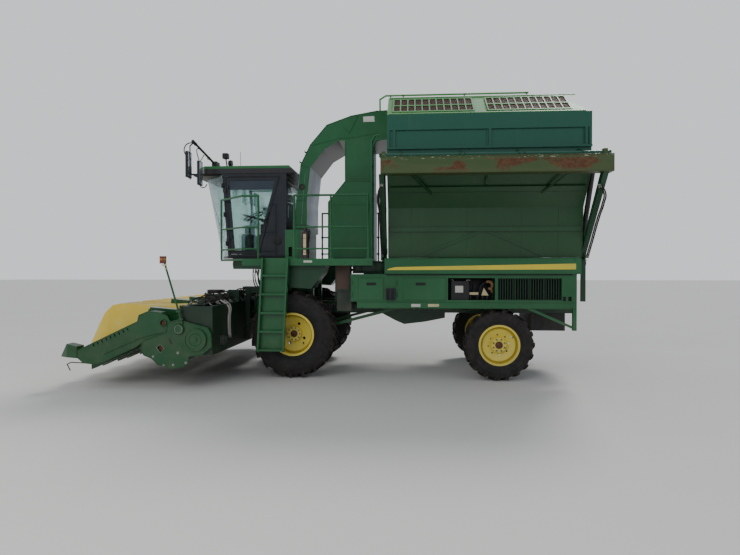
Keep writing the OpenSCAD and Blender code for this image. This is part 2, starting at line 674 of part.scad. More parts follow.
// Long beam on the posts, with the bearings that the basket turns in
module basket_beam() {
    color(rust) slab([beam_x0, -pivot_y - 100, beam_z0], [beam_x1, -pivot_y + 100, beam_z1]);
    color(dark_green) difference() {
        for (x = [front_post_x0 + 40, rear_post_x0])
            slab([x, -pivot_y - 50, beam_z1], [x + 60, -pivot_y + 50, pivot_z + 50]);
        x_cylinder(1000, 5000, -pivot_y, pivot_z, pivot_r + run_gap);
    }
}
// Feet of the tipping cylinders, on the frames and cut to the slope of the posts
foot_t = 24;
module cylinder_feet() color(dark_green) difference() {
    for (side = [0, 1]) {
        reach = barrel_r + eye_proud + seat_gap;
        x = cyl_planes[side] + (side == 0 ? -reach - foot_t : reach);
        slab([x, tip_base[0] - 55, 1950], [x + foot_t, tip_base[0] + 55, tip_base[1] + 50]);
        slab([min(x, cyl_planes[side]), tip_base[0] - 55, 1950],
            [max(x + foot_t, cyl_planes[side]), -700, 1970]);
    }
    slanted_post(front_post_x0);
    slanted_post(rear_post_x0);
}

module service_door_front() color(green)
    slab([front_bay[0] - 12, -sill_y - 12.3, bay_z0 - 12], [front_bay[1] + 12, -sill_y - 0.3, bay_z1 + 12]);
module service_door_rear() color(green)
    slab([bays[0][0] - 12, -sill_y - 12.3, bay_z0 - 12], [bays[0][1] + 12, -sill_y - 0.3, bay_z1 + 12]);

// Basket: [half width, height] of the left half of its section, from the floor up
section = [[basket_low_y, basket_z0], [basket_low_y + 60, 2792], [basket_y, 3300], [basket_y, eave_z]];
function closed_section(d) = concat(
    [for (p = section) [-(p[0] - d), p[1] + (p[1] == basket_z0 ? d : 0)]],
    [for (i = [len(section) - 1 : -1 : 0]) let (p = section[i]) [p[0] - d, p[1] + (p[1] == basket_z0 ? d : 0)]]);
lug_t = 22;
pin_reach = 450;
pin_angle = 5;
pin_y = -pivot_y + pin_reach * cos(pin_angle);
pin_z = pivot_z + pin_reach * sin(pin_angle);
arm_x = [for (share = [0.061, 0.363, 0.639, 0.932]) basket_x0 + share * (basket_x1 - basket_x0)];
basket_mid = (basket_x0 + basket_x1) / 2;
rib_x = [basket_x0, basket_x0 + 90, basket_mid + 8, basket_x1 - 100, basket_x1 - 40];
module basket() {
    color(dark_green) difference() {
        yz_plate(closed_section(0), basket_x0, basket_x1);
        yz_plate([for (p = closed_section(basket_wall)) [p[0], p[1] + (p[1] == eave_z ? 100 : 0)]],
            basket_x0 + basket_wall, basket_x1 - basket_wall);
        // mouth for the air duct
        slab([basket_x0 - 10, -duct_y, 4040], [basket_x0 + basket_wall + 10, duct_y, eave_z + 10]);
    }
    color(green) for (x = arm_x)
        yz_plate([[-basket_y, 3420], [-basket_y, 3640], [-pivot_y, pivot_z + pivot_r - 2],
            [-pivot_y, pivot_z - pivot_r + 4], [-pivot_y + 120, pivot_z - pivot_r + 4]], x, x + 30);
    color(rust) x_cylinder(front_post_x0 + 10, beam_x1 - 20, -pivot_y, pivot_z, pivot_r);
    color(green) both_sides() {
        slab([basket_x0, basket_y, 3660], [basket_x1, basket_y + 50, 3690]);
        slab([basket_x0, basket_y, 3960], [basket_x1, basket_y + 25, eave_z]);
        for (x = rib_x) slab([x, basket_y, 3690], [x + 40, basket_y + 25, 3960]);
        // two channels along the slanting wall, and the stays pressed on it
        yz_plate([[1375, 3020], [1425, 3020], [1479, 3090], [1429, 3090]], basket_x0 + 30, basket_x1 - 30);
        yz_plate([[1170, 2410], [1221, 2410], [1226, 2480], [1175, 2480]], basket_x0 + 30, basket_x1 - 30);
        for (x = [basket_x0 + 520, basket_x1 - 590]) bar([x, 1160, 2010], [basket_mid, 1193, 2440], 20, 40);
    }
    // stays from the pivot arms to the slanting wall
    color(green) for (side = [-1, 1])
        bar([basket_mid + side * 1370, -1830, 3400], [basket_mid + side * 850, -1405, 2990], 40, 12);
    color(green) for (x = [basket_x0 - lug_t, basket_x1])
        yz_plate([[pin_y - 60, pin_z - 120], [pin_y + 90, pin_z - 120], [pin_y + 60, pin_z + 60],
            [pin_y - 60, pin_z + 60]], x, x + lug_t);
}
lid_in = 600;
lid_gap = seat_gap;
module basket_lid() color(green) {
    z0 = eave_z + lid_gap;
    t = 25;
    top_y = basket_y - lid_in;
    lid_x1 = basket_x1 - 400;
    difference() {
        intersection() {
            yz_plate([[-basket_y, z0], [basket_y, z0], [top_y, lid_z], [-top_y, lid_z]], basket_x0, basket_x1);
            xz_plate([[basket_x0, z0], [basket_x1, z0], [lid_x1, lid_z], [basket_x0, lid_z]], -2000, 2000);
        }
        intersection() {
            yz_plate([[-basket_y + t + 12, z0 - 1], [basket_y - t - 12, z0 - 1], [top_y - 8, lid_z - t],
                [-top_y + 8, lid_z - t]], basket_x0 + t, basket_x1);
            xz_plate([[basket_x0, z0 - 1], [basket_x1 - t - 12, z0 - 1], [lid_x1 - 8, lid_z - t],
                [basket_x0, lid_z - t]], -2000, 2000);
        }
        slab([basket_x0 - 10, -duct_y, z0 - 10], [basket_x0 + t + 10, duct_y, 4560]);
    }
    pipe([[1422, -900, lid_z - 175], [1422, -900, lid_z + 12], [1520, -900, lid_z + 72],
        [3880, -900, lid_z + 72]], 15);
    for (x = [1600, 1814, 2831, 3849]) rod([x, -900, lid_z - 5], [x, -900, lid_z + 72], 12);
}
module lid_screens() color("#6b5a52") {
    // from 0.13 to 0.89 of the slope's rise
    low = [-basket_y + 0.13 * lid_in, eave_z + 0.13 * lid_rise];
    high = [-basket_y + 0.89 * lid_in, eave_z + 0.89 * lid_rise];
    for (x = [basket_x0 + 80, basket_x0 + 1560])
        yz_plate([low + [-0.4, 0], low + [-6, 6], high + [-6, 6], high + [-0.4, 0]], x, x + 1280);
}

// Tipping cylinders, one in the plane of each slanted post
tip_base = [-850, 2100];
barrel_r = 40;
tip_rod_r = 25;
// How far a cylinder's eye stands out beside its barrel
eye_proud = 3;
cyl_planes = [front_post_x0 + post_w / 2, rear_post_x0 + post_w / 2];
tip_len = norm([pin_y, pin_z] - tip_base);
module basket_barrels() color(black) for (x = cyl_planes) {
    a = [x, tip_base[0], tip_base[1]];
    d = [x, pin_y, pin_z] - a;
    u = d / norm(d);
    difference() {
        union() {
            rod(a, a + u * (tip_len - 160), barrel_r);
            x_cylinder(x - barrel_r - eye_proud, x + barrel_r + eye_proud, a[1], a[2], 55);
        }
        rod(a + u * 120, a + u * tip_len, tip_rod_r + run_gap);
    }
}
module basket_rods() color(grey) for (x = cyl_planes) {
    a = [x, tip_base[0], tip_base[1]];
    p = [x, pin_y, pin_z];
    u = (p - a) / norm(p - a);
    rod(a + u * 140, p, tip_rod_r);
    x_cylinder(x - 20, x + 20, p[1], p[2], 45);
}

// Header
header_half = rows * row_pitch / 2;
row_side = 205;
row_front = [-2950, 420];
row_rear = [auger_x - 235, 1200];
toolbar_z0 = 1130;
lift_pin_r = 30;
function row_y(i) = (i - (rows - 1) / 2) * row_pitch;
lift_arm_y = 640;
trough_r = auger_r + 30;
trough_arc = [for (a = [0 : 15 : 180]) [auger_x + trough_r * cos(a), auger_z + 20 - trough_r * sin(a)]];
module header_frame() color(dark_green) {
    half = header_half + 30;
    // trough round the cross auger, open to the front and top, with an outlet to the duct
    difference() {
        xz_plate(concat([[auger_x - 235, auger_z], [auger_x - 235, auger_z - 235], [auger_x + 235, auger_z - 235],
            [auger_x + 235, 1250], [auger_x + auger_r, 1250]], trough_arc), -half, half);
        slab([auger_x, -330, auger_z + 60], [auger_x + 400, 330, 1180]);
    }
    slab([auger_x - 235, -half, auger_z - 300], [auger_x - 135, half, auger_z - 235]);
    slab([auger_x - 235, -half, toolbar_z0], [auger_x - 135, half, toolbar_z0 + 120]);
    both_sides() slab([auger_x - 235, half - 12, auger_z], [auger_x + 235, half, toolbar_z0 + 120]);
    // upper links: a column on the rear wall and a strap over the hoods
    both_sides() {
        slab([-1160, 960, 1060], [auger_x + 235, 1040, 1451]);
        slab([-1583, 985, 1300], [-1160, 1015, 1380]);
        slab([-1583, 985, 1275], [-1553, 1015, 1396]);
    }
    // hanging arms to the lift hinge
    both_sides() {
        slab([auger_x + 235, lift_arm_y - 40, auger_z - 200], [auger_x + 315, lift_arm_y + 40, lift_z]);
        difference() {
            union() {
                bar([auger_x + 275, lift_arm_y, lift_z - 75], [lift_x, lift_arm_y, lift_z], 60, 110);
                y_cylinder(lift_x, lift_z, lift_arm_y - 38, lift_arm_y + 38, 70);
            }
            y_cylinder(lift_x, lift_z, lift_arm_y - 50, lift_arm_y + 50, lift_pin_r + run_gap);
        }
        slab([auger_x + 315, lift_arm_y + 32, lift_eye[1] - 40], [lift_eye[0] + 40, lift_arm_y + 50, lift_eye[1] + 40]);
    }
}
// Screw flight about Z: inner and outer radius, length, pitch and thickness
flight_steps = 12;
module flight(r0, r1, length, pitch, t) {
    n = floor(length / pitch * flight_steps);
    rings = [for (i = [0 : n]) let (a = i * 360 / flight_steps, z = i * pitch / flight_steps)
        each [[r0 * cos(a), r0 * sin(a), z], [r1 * cos(a), r1 * sin(a), z],
            [r1 * cos(a), r1 * sin(a), z + t], [r0 * cos(a), r0 * sin(a), z + t]]];
    sides = [for (i = [0 : n - 1], k = [0 : 3]) let (a = 4 * i + k, b = 4 * i + (k + 1) % 4)
        each [[a, b, a + 4], [b, b + 4, a + 4]]];
    polyhedron(rings, concat([[0, 3, 2, 1]], sides, [[4 * n, 4 * n + 1, 4 * n + 2, 4 * n + 3]]));
}
module cross_auger() color(grey) {
    half = header_half + 30 - 12 - pass_gap;
    shaft_end = half + pass_gap - seat_gap;
    y_cylinder(auger_x, auger_z, -half, half, 60);
    y_cylinder(auger_x, auger_z, -shaft_end, shaft_end, 30);
    both_sides() translate([auger_x, 0, auger_z]) rotate([-90, 0, 0]) translate([0, 0, 360])
        flight(50, auger_r, half - 360 - 30, 400, 12);
}
module row_units() color(green) for (i = [0 : rows - 1]) translate([0, row_y(i), 0]) both_sides() {
    // side beam and stripping roll of one half of a row
    xz_plate([row_front, row_rear, row_rear + [0, -260], row_front + [0, -160]], row_side - 15, row_side);
    xz_plate([row_front + [0, -140], row_rear + [0, -240], row_rear + [0, -260], row_front + [0, -160]],
        100, row_side - 15);
    xz_plate([row_rear + [-60, -45], row_rear + [0, -45], row_rear + [0, -260], row_rear + [-60, -260]],
        20, row_side - 15);
    // gear cover over the rear of the rolls
    xz_plate([[-2105, 1178], [-1810, 1112], [-1470, 1112], [-1470, 1000], [-2105, 960]], 0, 85);
    color(black) rod([row_front[0] + 60, 70, row_front[1] - 30], [row_rear[0] - 40, 70, row_rear[1] - 90], 45);
}
hood_half = 290;
hood_x1 = auger_x - 235 - 1;
hood_seat = 0.3;
module hood_form(d) intersection() {
    xz_plate([[tip_x + 30 + d, 480 - d], [-3144 + d, 700 - d], [-2905 + d, 1107 - d], [-2768, 1229 - d],
        [-2632, 1258 - d], [-1955, 1225 - d], [hood_x1 - d, 1245 - d], [hood_x1 - d, row_rear[1] + hood_seat - d],
        [row_front[0], row_front[1] + hood_seat - d], [row_front[0], 340]],
        -hood_half + d, hood_half - d);
    xy_plate([[tip_x + 20 + d, -40], [-3180, -180 + d], [-3000, -260 + d], [-2850, -hood_half + d],
        [hood_x1 - d, -hood_half + d], [hood_x1 - d, hood_half - d], [-2850, hood_half - d],
        [-3000, 260 - d], [-3180, 180 - d], [tip_x + 20 + d, 40]], 0, 2000);
}
module hoods() color(yellow) for (i = [1 : rows - 1]) translate([0, (i - rows / 2) * row_pitch, 0])
    difference() {
        hood_form(0);
        hood_form(8);
    }
end_y = 2400;
arm_outline = [[-3053, 572], [-2102, 1020], [-2078, 1114], [-1931, 1174], [-1760, 1152], [-1651, 1105],
    [-1600, 1020], [-1640, 880], [-2004, 736], [-2127, 641], [-2644, 409], [-2768, 377], [-2941, 394], [-3053, 488]];
cover_outline = [[-2007, 739], [-2043, 620], [-1995, 527], [-1873, 481], [-1775, 388], [-1581, 331], [-1412, 357],
    [-1316, 417], [-1316, 511], [-1123, 536], [-968, 655], [-979, 842], [-1027, 935], [-1292, 1003], [-1461, 1049],
    [-1620, 1010], [-1660, 860]];
cover_t = 45;
slot_n = 9;
// Ends of the header: the outer arm with its slots, the drive cover with two discs, the snout and its tine
module end_shields() color(green) both_sides() {
    y0 = header_half + 30;
    y1 = y0 + cover_t;
    difference() {
        union() {
            xz_plate(arm_outline, y0, y0 + 20);
            xz_plate(cover_outline, y0, y1);
            y_cylinder(-1706, 1002, y0 + 10, y0 + 34, 56);
        }
        y_cylinder(-1706, 1002, y0 - 1, y1, 40);
        xz_plate([[-1795, 649], [-1742, 678], [-1689, 627], [-1742, 568]], y0 - 1, y1 + 1);
        for (i = [0 : slot_n - 1])
            translate([-2780 + 66 * i, y0 - 1, 640 + 30 * i]) rotate([0, -24, 0]) cube([16, 30, 42]);
    }
    difference() {
        y_cylinder(auger_x, auger_z, y1, end_y, 165);
        y_cylinder(auger_x, auger_z, end_y - 10, end_y + 1, 150);
    }
    y_cylinder(auger_x, auger_z, end_y - 12, end_y, 28);
    y_cylinder(-1457, 915, y1, y1 + 30, 78);
    // sloping top of the end divider
    xz_plate([[-3053, 572], [-2102, 1020], [-2078, 1114], [-1931, 1174], [-1760, 1152], [-1760, 1140],
        [-1929, 1162], [-2068, 1106], [-2092, 1010], [-3048, 560]], row_y(rows - 1) + row_side, y0);
    intersection() {
        xz_plate([[tip_x, 478], [-3203, 678], [-3040, 640], [-3040, 465], [-3190, 474]], y0 - 170, y0 + 30);
        xy_plate([[tip_x, y0 - 80], [-3203, y0 - 150], [-3040, y0 - 160], [-3040, y0 + 30], [-3203, y0 + 20],
            [tip_x, y0 - 50]], 400, 800);
    }
    pipe([[-2755, y0 + 8, 386], [-3140, y0 + 8, 400], [-3203, y0 + 8, 370], [-3153, y0 + 8, 275]], 8);
}
pole_r = 14;
module marker_poles() color(green) both_sides() {
    y = header_half + 30 + cover_t + pole_r + 0.3;
    rod([-1400, y, 992], [-1693, y, 1980], pole_r);
    slab([-1738, y - 7, 1880], [-1640, y + 7, 1988]);
}

lift_base = [-180, 1150];
lift_eye = [-860, 900];
lift_len = norm(lift_eye - lift_base);
lift_barrel_r = 42;
lift_rod_r = 22;
module header_barrels() color(black) both_sides() {
    a = [lift_base[0], lift_arm_y, lift_base[1]];
    b = [lift_eye[0], lift_arm_y, lift_eye[1]];
    u = (b - a) / norm(b - a);
    difference() {
        union() {
            rod(a, a + u * (lift_len - 200), lift_barrel_r);
            y_cylinder(a[0], a[2], a[1] - lift_barrel_r - eye_proud, a[1] + lift_barrel_r + eye_proud, 50);
        }
        rod(a + u * 120, b, lift_rod_r + run_gap);
    }
}
module header_rods() color(grey) both_sides() {
    a = [lift_base[0], lift_arm_y, lift_base[1]];
    b = [lift_eye[0], lift_arm_y, lift_eye[1]];
    u = (b - a) / norm(b - a);
    rod(a + u * 150, b, lift_rod_r);
}

on_frame() main_frame();
on_frame() lift_pivots();
on_frame() front_axle();
on_frame() rear_axle();
on_frame() side_frames();
on_frame() side_panels();
on_frame() side_stripes();
on_frame() radiator_grille();
on_frame() engine_block();
on_frame() fuel_tank();
on_frame() battery();
on_frame() cab_shell();
on_frame() cab_roof();
on_frame() cab_glass();
on_frame() seat();
on_frame() steering_column();
on_frame() deck();
on_frame() handrails();
on_frame() ladder();
on_frame() air_duct();
on_frame() lower_duct();
on_frame() cleaner_housing();
on_frame() front_fenders();
on_frame() mirrors();
on_frame() lamps();
on_frame() fire_extinguisher();
on_frame() equipment_box();
on_frame() basket_posts();
on_frame() basket_beam();
on_frame() cylinder_feet();
on_frame() service_door_front();
on_frame() service_door_rear();
on_frame() cab_door();
on_frame() door_glass();
on_frame() rear_knuckle_left();
on_frame() rear_knuckle_right();
on_frame() tie_rod();
on_frame() front_tyre_left();
on_frame() front_rim_left();
on_frame() front_tyre_right();
on_frame() front_rim_right();
on_frame() rear_tyre_left();
on_frame() rear_rim_left();
on_frame() rear_tyre_right();
on_frame() rear_rim_right();
on_frame() basket();
on_frame() basket_lid();
on_frame() lid_screens();
on_frame() basket_barrels();
on_frame() basket_rods();
on_frame() header_frame();
on_frame() cross_auger();
on_frame() row_units();
on_frame() hoods();
on_frame() end_shields();
on_frame() header_barrels();
on_frame() header_rods();
on_frame() marker_poles();
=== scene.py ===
import math

import bpy
from mathutils import Matrix, Vector


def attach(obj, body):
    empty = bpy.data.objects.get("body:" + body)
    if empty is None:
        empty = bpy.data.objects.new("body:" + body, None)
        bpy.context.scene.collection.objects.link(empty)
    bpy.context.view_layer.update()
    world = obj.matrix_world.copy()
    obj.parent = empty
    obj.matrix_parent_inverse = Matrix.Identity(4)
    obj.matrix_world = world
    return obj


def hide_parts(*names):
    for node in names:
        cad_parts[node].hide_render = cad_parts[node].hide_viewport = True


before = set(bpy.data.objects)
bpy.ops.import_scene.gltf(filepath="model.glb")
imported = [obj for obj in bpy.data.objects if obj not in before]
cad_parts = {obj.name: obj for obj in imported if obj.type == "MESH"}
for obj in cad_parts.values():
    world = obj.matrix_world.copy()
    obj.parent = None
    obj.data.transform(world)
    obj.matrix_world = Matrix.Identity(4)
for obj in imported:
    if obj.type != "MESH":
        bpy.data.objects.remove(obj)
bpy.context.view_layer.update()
bpy.ops.object.select_all(action="DESELECT")

# Places are given in metres with X = 0 over the front axle; spot() brings them into the machine's frame.
AXLE_X = -0.756
WHEELBASE = 3.36
SIDES = (-1, 1)
UP = (0.0, 0.0, 1.0)


def spot(x, y, z):
    """A point given from the front axle, in the machine's frame."""
    return Vector((x + AXLE_X, y, z))


# Finishes

def rgb(r, g, b):
    """A colour as a paint chart gives it, 0 to 255, as Blender's linear values."""
    def channel(v):
        v /= 255
        return v / 12.92 if v <= 0.04045 else ((v + 0.055) / 1.055) ** 2.4
    return (channel(r), channel(g), channel(b), 1.0)


class Finish:
    """A node material, and the steps that this machine's finishes share."""

    def __init__(self, name, rough=0.5, metal=0.0):
        self.material = bpy.data.materials.new(name)
        self.material.use_nodes = True
        self.tree = self.material.node_tree
        self.shader = self.tree.nodes["Principled BSDF"]
        self.shader.inputs["Roughness"].default_value = rough
        self.shader.inputs["Metallic"].default_value = metal
        where = self.tree.nodes.new("ShaderNodeTexCoord")
        self.place, self.facing = where.outputs["Object"], where.outputs["Normal"]
        self.bumps = None

    def feed(self, socket, value):
        if isinstance(value, bpy.types.NodeSocket):
            self.tree.links.new(value, socket)
        else:
            socket.default_value = value

    def step(self, kind, out, **inputs):
        node = self.tree.nodes.new(kind)
        for name, value in inputs.items():
            self.feed(node.inputs[name.replace("_", " ")], value)
        return node.outputs[out]

    def noise(self, scale, detail=3.0, rough=0.55, stretch=None):
        place = self.place
        if stretch:
            place = self.step("ShaderNodeMapping", "Vector", Vector=place, Scale=stretch)
        return self.step("ShaderNodeTexNoise", "Fac", Vector=place, Scale=scale, Detail=detail,
                         Roughness=rough)

    def cells(self, scale):
        """Distance from the middles of random cells."""
        return self.step("ShaderNodeTexVoronoi", "Distance", Vector=self.place, Scale=scale)

    def ramp(self, value, low, high, start=0.0, end=1.0):
        node = self.tree.nodes.new("ShaderNodeMapRange")
        node.interpolation_type = "SMOOTHSTEP"
        self.feed(node.inputs["Value"], value)
        for name, v in (("From Min", low), ("From Max", high), ("To Min", start), ("To Max", end)):
            self.feed(node.inputs[name], v)
        return node.outputs["Result"]

    def maths(self, kind, a, b=0.0):
        node = self.tree.nodes.new("ShaderNodeMath")
        node.operation = kind
        self.feed(node.inputs[0], a)
        self.feed(node.inputs[1], b)
        return node.outputs[0]

    def times(self, a, b):
        return self.maths("MULTIPLY", a, b)

    def plus(self, a, b):
        return self.maths("ADD", a, b)

    def sine(self, a):
        return self.maths("SINE", a)

    def mix(self, share, a, b):
        node = self.tree.nodes.new("ShaderNodeMix")
        node.data_type = "RGBA"
        self.feed(node.inputs[0], share)
        self.feed(node.inputs[6], a)
        self.feed(node.inputs[7], b)
        return node.outputs[2]

    def axis(self, vector, name):
        return self.step("ShaderNodeSeparateXYZ", name, Vector=vector)

    def bump(self, height, depth, strength=1.0):
        node = self.tree.nodes.new("ShaderNodeBump")
        node.inputs["Strength"].default_value = strength
        node.inputs["Distance"].default_value = depth
        self.feed(node.inputs["Height"], height)
        if self.bumps:
            self.feed(node.inputs["Normal"], self.bumps)
        self.bumps = node.outputs["Normal"]

    def done(self, colour=None, rough=None):
        if colour is not None:
            self.feed(self.shader.inputs["Base Color"], colour)
        if rough is not None:
            self.feed(self.shader.inputs["Roughness"], rough)
        if self.bumps:
            self.feed(self.shader.inputs["Normal"], self.bumps)
        return self.material


DUST = rgb(150, 132, 104)
MUD = rgb(112, 92, 74)
RUST = rgb(92, 50, 34)
GREEN = rgb(18, 84, 42)
GREEN_FADED = rgb(30, 98, 56)
DEEP_GREEN = rgb(14, 58, 32)
YELLOW = rgb(226, 190, 42)


def dusted(f, colour, amount=0.5, low=0.4, high=1.5):
    """Field dust: it lies on what faces up, runs down in streaks and thickens near the ground."""
    patch = f.ramp(f.noise(5.0, 5.0, 0.65), 0.35, 0.7)
    top = f.ramp(f.axis(f.facing, "Z"), 0.35, 0.95, 0.0, 0.8 * amount)
    top = f.times(top, f.ramp(patch, 0.0, 1.0, 0.35, 1.0))
    height = f.ramp(f.axis(f.place, "Z"), low, high, 0.5 * amount, 0.05 * amount)
    height = f.times(height, patch)
    streak = f.ramp(f.noise(9.0, 4.0, 0.6, (1.0, 1.0, 0.1)), 0.55, 0.8, 0.0, 0.22 * amount)
    share = f.plus(f.plus(top, height), streak)
    return f.mix(share, colour, DUST), share


def paint(name, colour, faded, chips=0.0, dust=0.4, rough=0.3, chip_colour=RUST, upper=None, split=0.0):
    """Sun-faded machine enamel with dents, chips and dust; upper is its tone above the height split, which
    on the basket is a painted sky reflection.
    """
    f = Finish(name, rough)
    f.shader.inputs["Coat Weight"].default_value = 0.12
    f.shader.inputs["Coat Roughness"].default_value = 0.2
    tone = f.mix(f.ramp(f.noise(0.9, 4.0), 0.32, 0.68), colour, faded)
    # The upper tone is painted light: a sky reflection over the basket's upper walls.
    if upper:
        tone = f.mix(f.ramp(f.axis(f.place, "Z"), split - 0.004, split + 0.004), tone, upper)
    tone = f.mix(f.ramp(f.noise(24.0, 3.0), 0.45, 0.75, 0.0, 0.14), tone, faded)
    if chips:
        worn = f.ramp(f.noise(70.0, 6.0, 0.7), 0.69 - 0.06 * chips, 0.72 - 0.06 * chips)
        worn = f.times(worn, f.ramp(f.noise(3.2, 2.0), 0.52, 0.6))
        tone = f.mix(worn, tone, chip_colour)
        f.bump(worn, 0.0006, 0.5)
    tone, share = dusted(f, tone, dust)
    f.bump(f.noise(2.2, 2.0), 0.004, 0.3)
    f.bump(f.noise(260.0, 2.0), 0.0002, 0.2)
    return f.done(tone, f.ramp(share, 0.0, 0.6, rough, 0.8))


def two_tone(name, low_colour, high_colour, split, rough):
    """One finish below a height and another above it, for a shell whose skirt is painted; on the roof the
    dark tone below the split is painted shade under the overhang.
    """
    f = Finish(name, rough)
    f.shader.inputs["Coat Weight"].default_value = 0.3
    side = f.ramp(f.axis(f.place, "Z"), split - 0.001, split + 0.001)
    tone = f.mix(side, low_colour, high_colour)
    tone = f.mix(f.ramp(f.noise(1.4, 4.0), 0.45, 0.8, 0.0, 0.12), tone, rgb(52, 66, 78))
    tone, share = dusted(f, tone, 0.25)
    f.bump(f.noise(280.0, 2.0), 0.0002, 0.2)
    return f.done(tone, f.ramp(share, 0.0, 0.6, rough, 0.8))


def duct_paint():
    """Green outside; the hollow side is pale bare sheet up to the bend, and above it a dark tone that is
    painted shade deep in the hollow.
    """
    f = Finish("duct_green", 0.35)
    tone = f.mix(f.ramp(f.noise(0.9, 4.0), 0.32, 0.68), GREEN, GREEN_FADED)
    tone, share = dusted(f, tone, 0.2)
    back = f.ramp(f.axis(f.facing, "X"), 0.25, 0.45)
    inward = f.ramp(f.axis(f.place, "X"), AXLE_X + 0.72, AXLE_X + 0.66)
    height = f.axis(f.place, "Z")
    hollow = f.times(f.times(back, inward), f.ramp(height, 2.59, 2.6))
    grain = f.ramp(f.noise(3.0, 5.0, 0.6, (1.0, 1.0, 0.3)), 0.3, 0.7)
    pale = f.mix(grain, rgb(178, 186, 204), rgb(148, 156, 172))
    # Above 3.585 m the lining turns dark: painted shade inside the hollow.
    lining = f.mix(f.ramp(height, 3.585, 3.6), pale, rgb(40, 30, 36))
    tone = f.mix(hollow, tone, lining)
    f.bump(f.noise(2.2, 2.0), 0.004, 0.3)
    return f.done(tone, f.ramp(share, 0.0, 0.6, 0.35, 0.8))


def worn_beam():
    """Olive frame paint, worn to brown in patches along the middle, with pale scuffs near the top edge."""
    f = Finish("worn_beam_paint", 0.5)
    height = f.axis(f.place, "Z")
    rear = f.ramp(f.axis(f.place, "X"), 0.9, 3.8, -0.06, 0.07)
    middle = f.times(f.ramp(height, 3.22, 3.28), f.ramp(height, 3.43, 3.38))
    patch = f.plus(f.noise(1.7, 6.0, 0.6, (1.0, 1.0, 1.6)), rear)
    rust = f.times(f.ramp(patch, 0.5, 0.6), f.ramp(middle, 0.0, 1.0, 0.25, 1.0))
    brown = f.mix(f.ramp(f.noise(24.0, 5.0, 0.7), 0.4, 0.65), rgb(88, 50, 36), rgb(104, 74, 48))
    olive = f.mix(f.ramp(f.noise(1.2, 4.0, 0.55, (0.3, 1.0, 3.0)), 0.35, 0.65), rgb(52, 78, 38),
                  rgb(74, 86, 50))
    tone = f.mix(f.times(rust, 0.9), olive, brown)
    scuff = f.times(f.ramp(f.noise(34.0, 3.0, 0.6, (0.5, 1.0, 2.0)), 0.62, 0.66),
                    f.ramp(height, 3.39, 3.43))
    tone = f.mix(scuff, tone, rgb(176, 176, 160))
    f.bump(f.noise(90.0, 5.0, 0.7), 0.0008, 0.4)
    return f.done(tone, f.ramp(rust, 0.0, 1.0, 0.45, 0.85))


def plastic(name, colour, other, rough=0.5, dust=0.3):
    """Moulded plastic with a fine grain, a little sun bleaching and dust."""
    f = Finish(name, rough)
    tone = f.mix(f.ramp(f.noise(1.6, 4.0), 0.35, 0.7), colour, other)
    tone, share = dusted(f, tone, dust)
    f.bump(f.noise(900.0, 1.0), 0.0002, 0.3)
    return f.done(tone, f.ramp(share, 0.0, 0.5, rough, 0.8))


def bare_metal(name, colour, rough=0.35, brushed=(1.0, 1.0, 1.0), rust=0.0):
    """Bare metal with a brushed grain and spots of rust."""
    f = Finish(name, rough, 0.85)
    line = f.noise(60.0, 4.0, 0.6, brushed)
    tone = f.mix(f.ramp(line, 0.3, 0.7), colour, [0.6 * c for c in colour[:3]] + [1.0])
    spots = f.ramp(f.noise(14.0, 5.0, 0.7), 0.62 - 0.15 * rust, 0.72)
    tone = f.mix(f.times(spots, 0.3 + 0.4 * rust), tone, RUST)
    f.bump(line, 0.0004, 0.3)
    return f.done(tone, f.ramp(spots, 0.0, 1.0, rough, 0.85))


def cast_metal():
    """Painted castings with runs of oil."""
    f = Finish("cast_engine_metal", 0.6, 0.35)
    tone = f.mix(f.ramp(f.noise(3.0, 5.0), 0.35, 0.7), rgb(58, 66, 58), rgb(84, 84, 74))
    oil = f.ramp(f.noise(7.0, 5.0, 0.7, (1.0, 1.0, 0.3)), 0.55, 0.7, 0.0, 0.7)
    tone = f.mix(oil, tone, rgb(24, 22, 20))
    f.bump(f.noise(160.0, 4.0, 0.7), 0.0015, 0.6)
    return f.done(tone)


def rubber(name, colour=rgb(26, 26, 26), dust=0.25, rough=0.7):
    """Hose rubber with dry mud in patches."""
    f = Finish(name, rough)
    tone = f.mix(f.ramp(f.noise(11.0, 5.0, 0.65), 0.4, 0.72, 0.0, dust), colour, MUD)
    f.bump(f.noise(420.0, 3.0), 0.0005, 0.4)
    return f.done(tone)


def tyre_rubber():
    """Black rubber; a little dust sits in the tread, as the wear attribute says."""
    f = Finish("tyre_rubber", 0.8)
    wear = f.tree.nodes.new("ShaderNodeAttribute")
    wear.attribute_name = "wear"
    wear = wear.outputs["Fac"]
    patch = f.ramp(f.noise(16.0, 6.0, 0.7), 0.4, 0.75, 0.1, 1.0)
    tone = f.mix(f.ramp(f.noise(6.0, 4.0), 0.35, 0.7), rgb(20, 21, 22), rgb(34, 34, 34))
    tone = f.mix(f.times(f.times(wear, patch), 0.34), tone, MUD)
    f.bump(f.noise(300.0, 4.0, 0.7), 0.0008, 0.5)
    f.bump(f.noise(26.0, 5.0, 0.7), 0.002, 0.35)
    return f.done(tone, f.ramp(wear, 0.0, 1.0, 0.58, 0.85))


def tinted_glass(name):
    """Mint green cab glass with a film of dust that dulls it in patches."""
    f = Finish(name, 0.05)
    s = f.shader.inputs
    s["Transmission Weight"].default_value = 1.0
    s["IOR"].default_value = 1.3
    s["Alpha"].default_value = 0.42
    film = f.ramp(f.noise(2.6, 5.0, 0.65), 0.4, 0.75)
    tone = f.mix(film, rgb(140, 210, 196), rgb(176, 218, 206))
    f.bump(f.noise(5.0, 1.0), 0.001, 0.08)
    return f.done(tone, f.ramp(film, 0.0, 1.0, 0.03, 0.16))


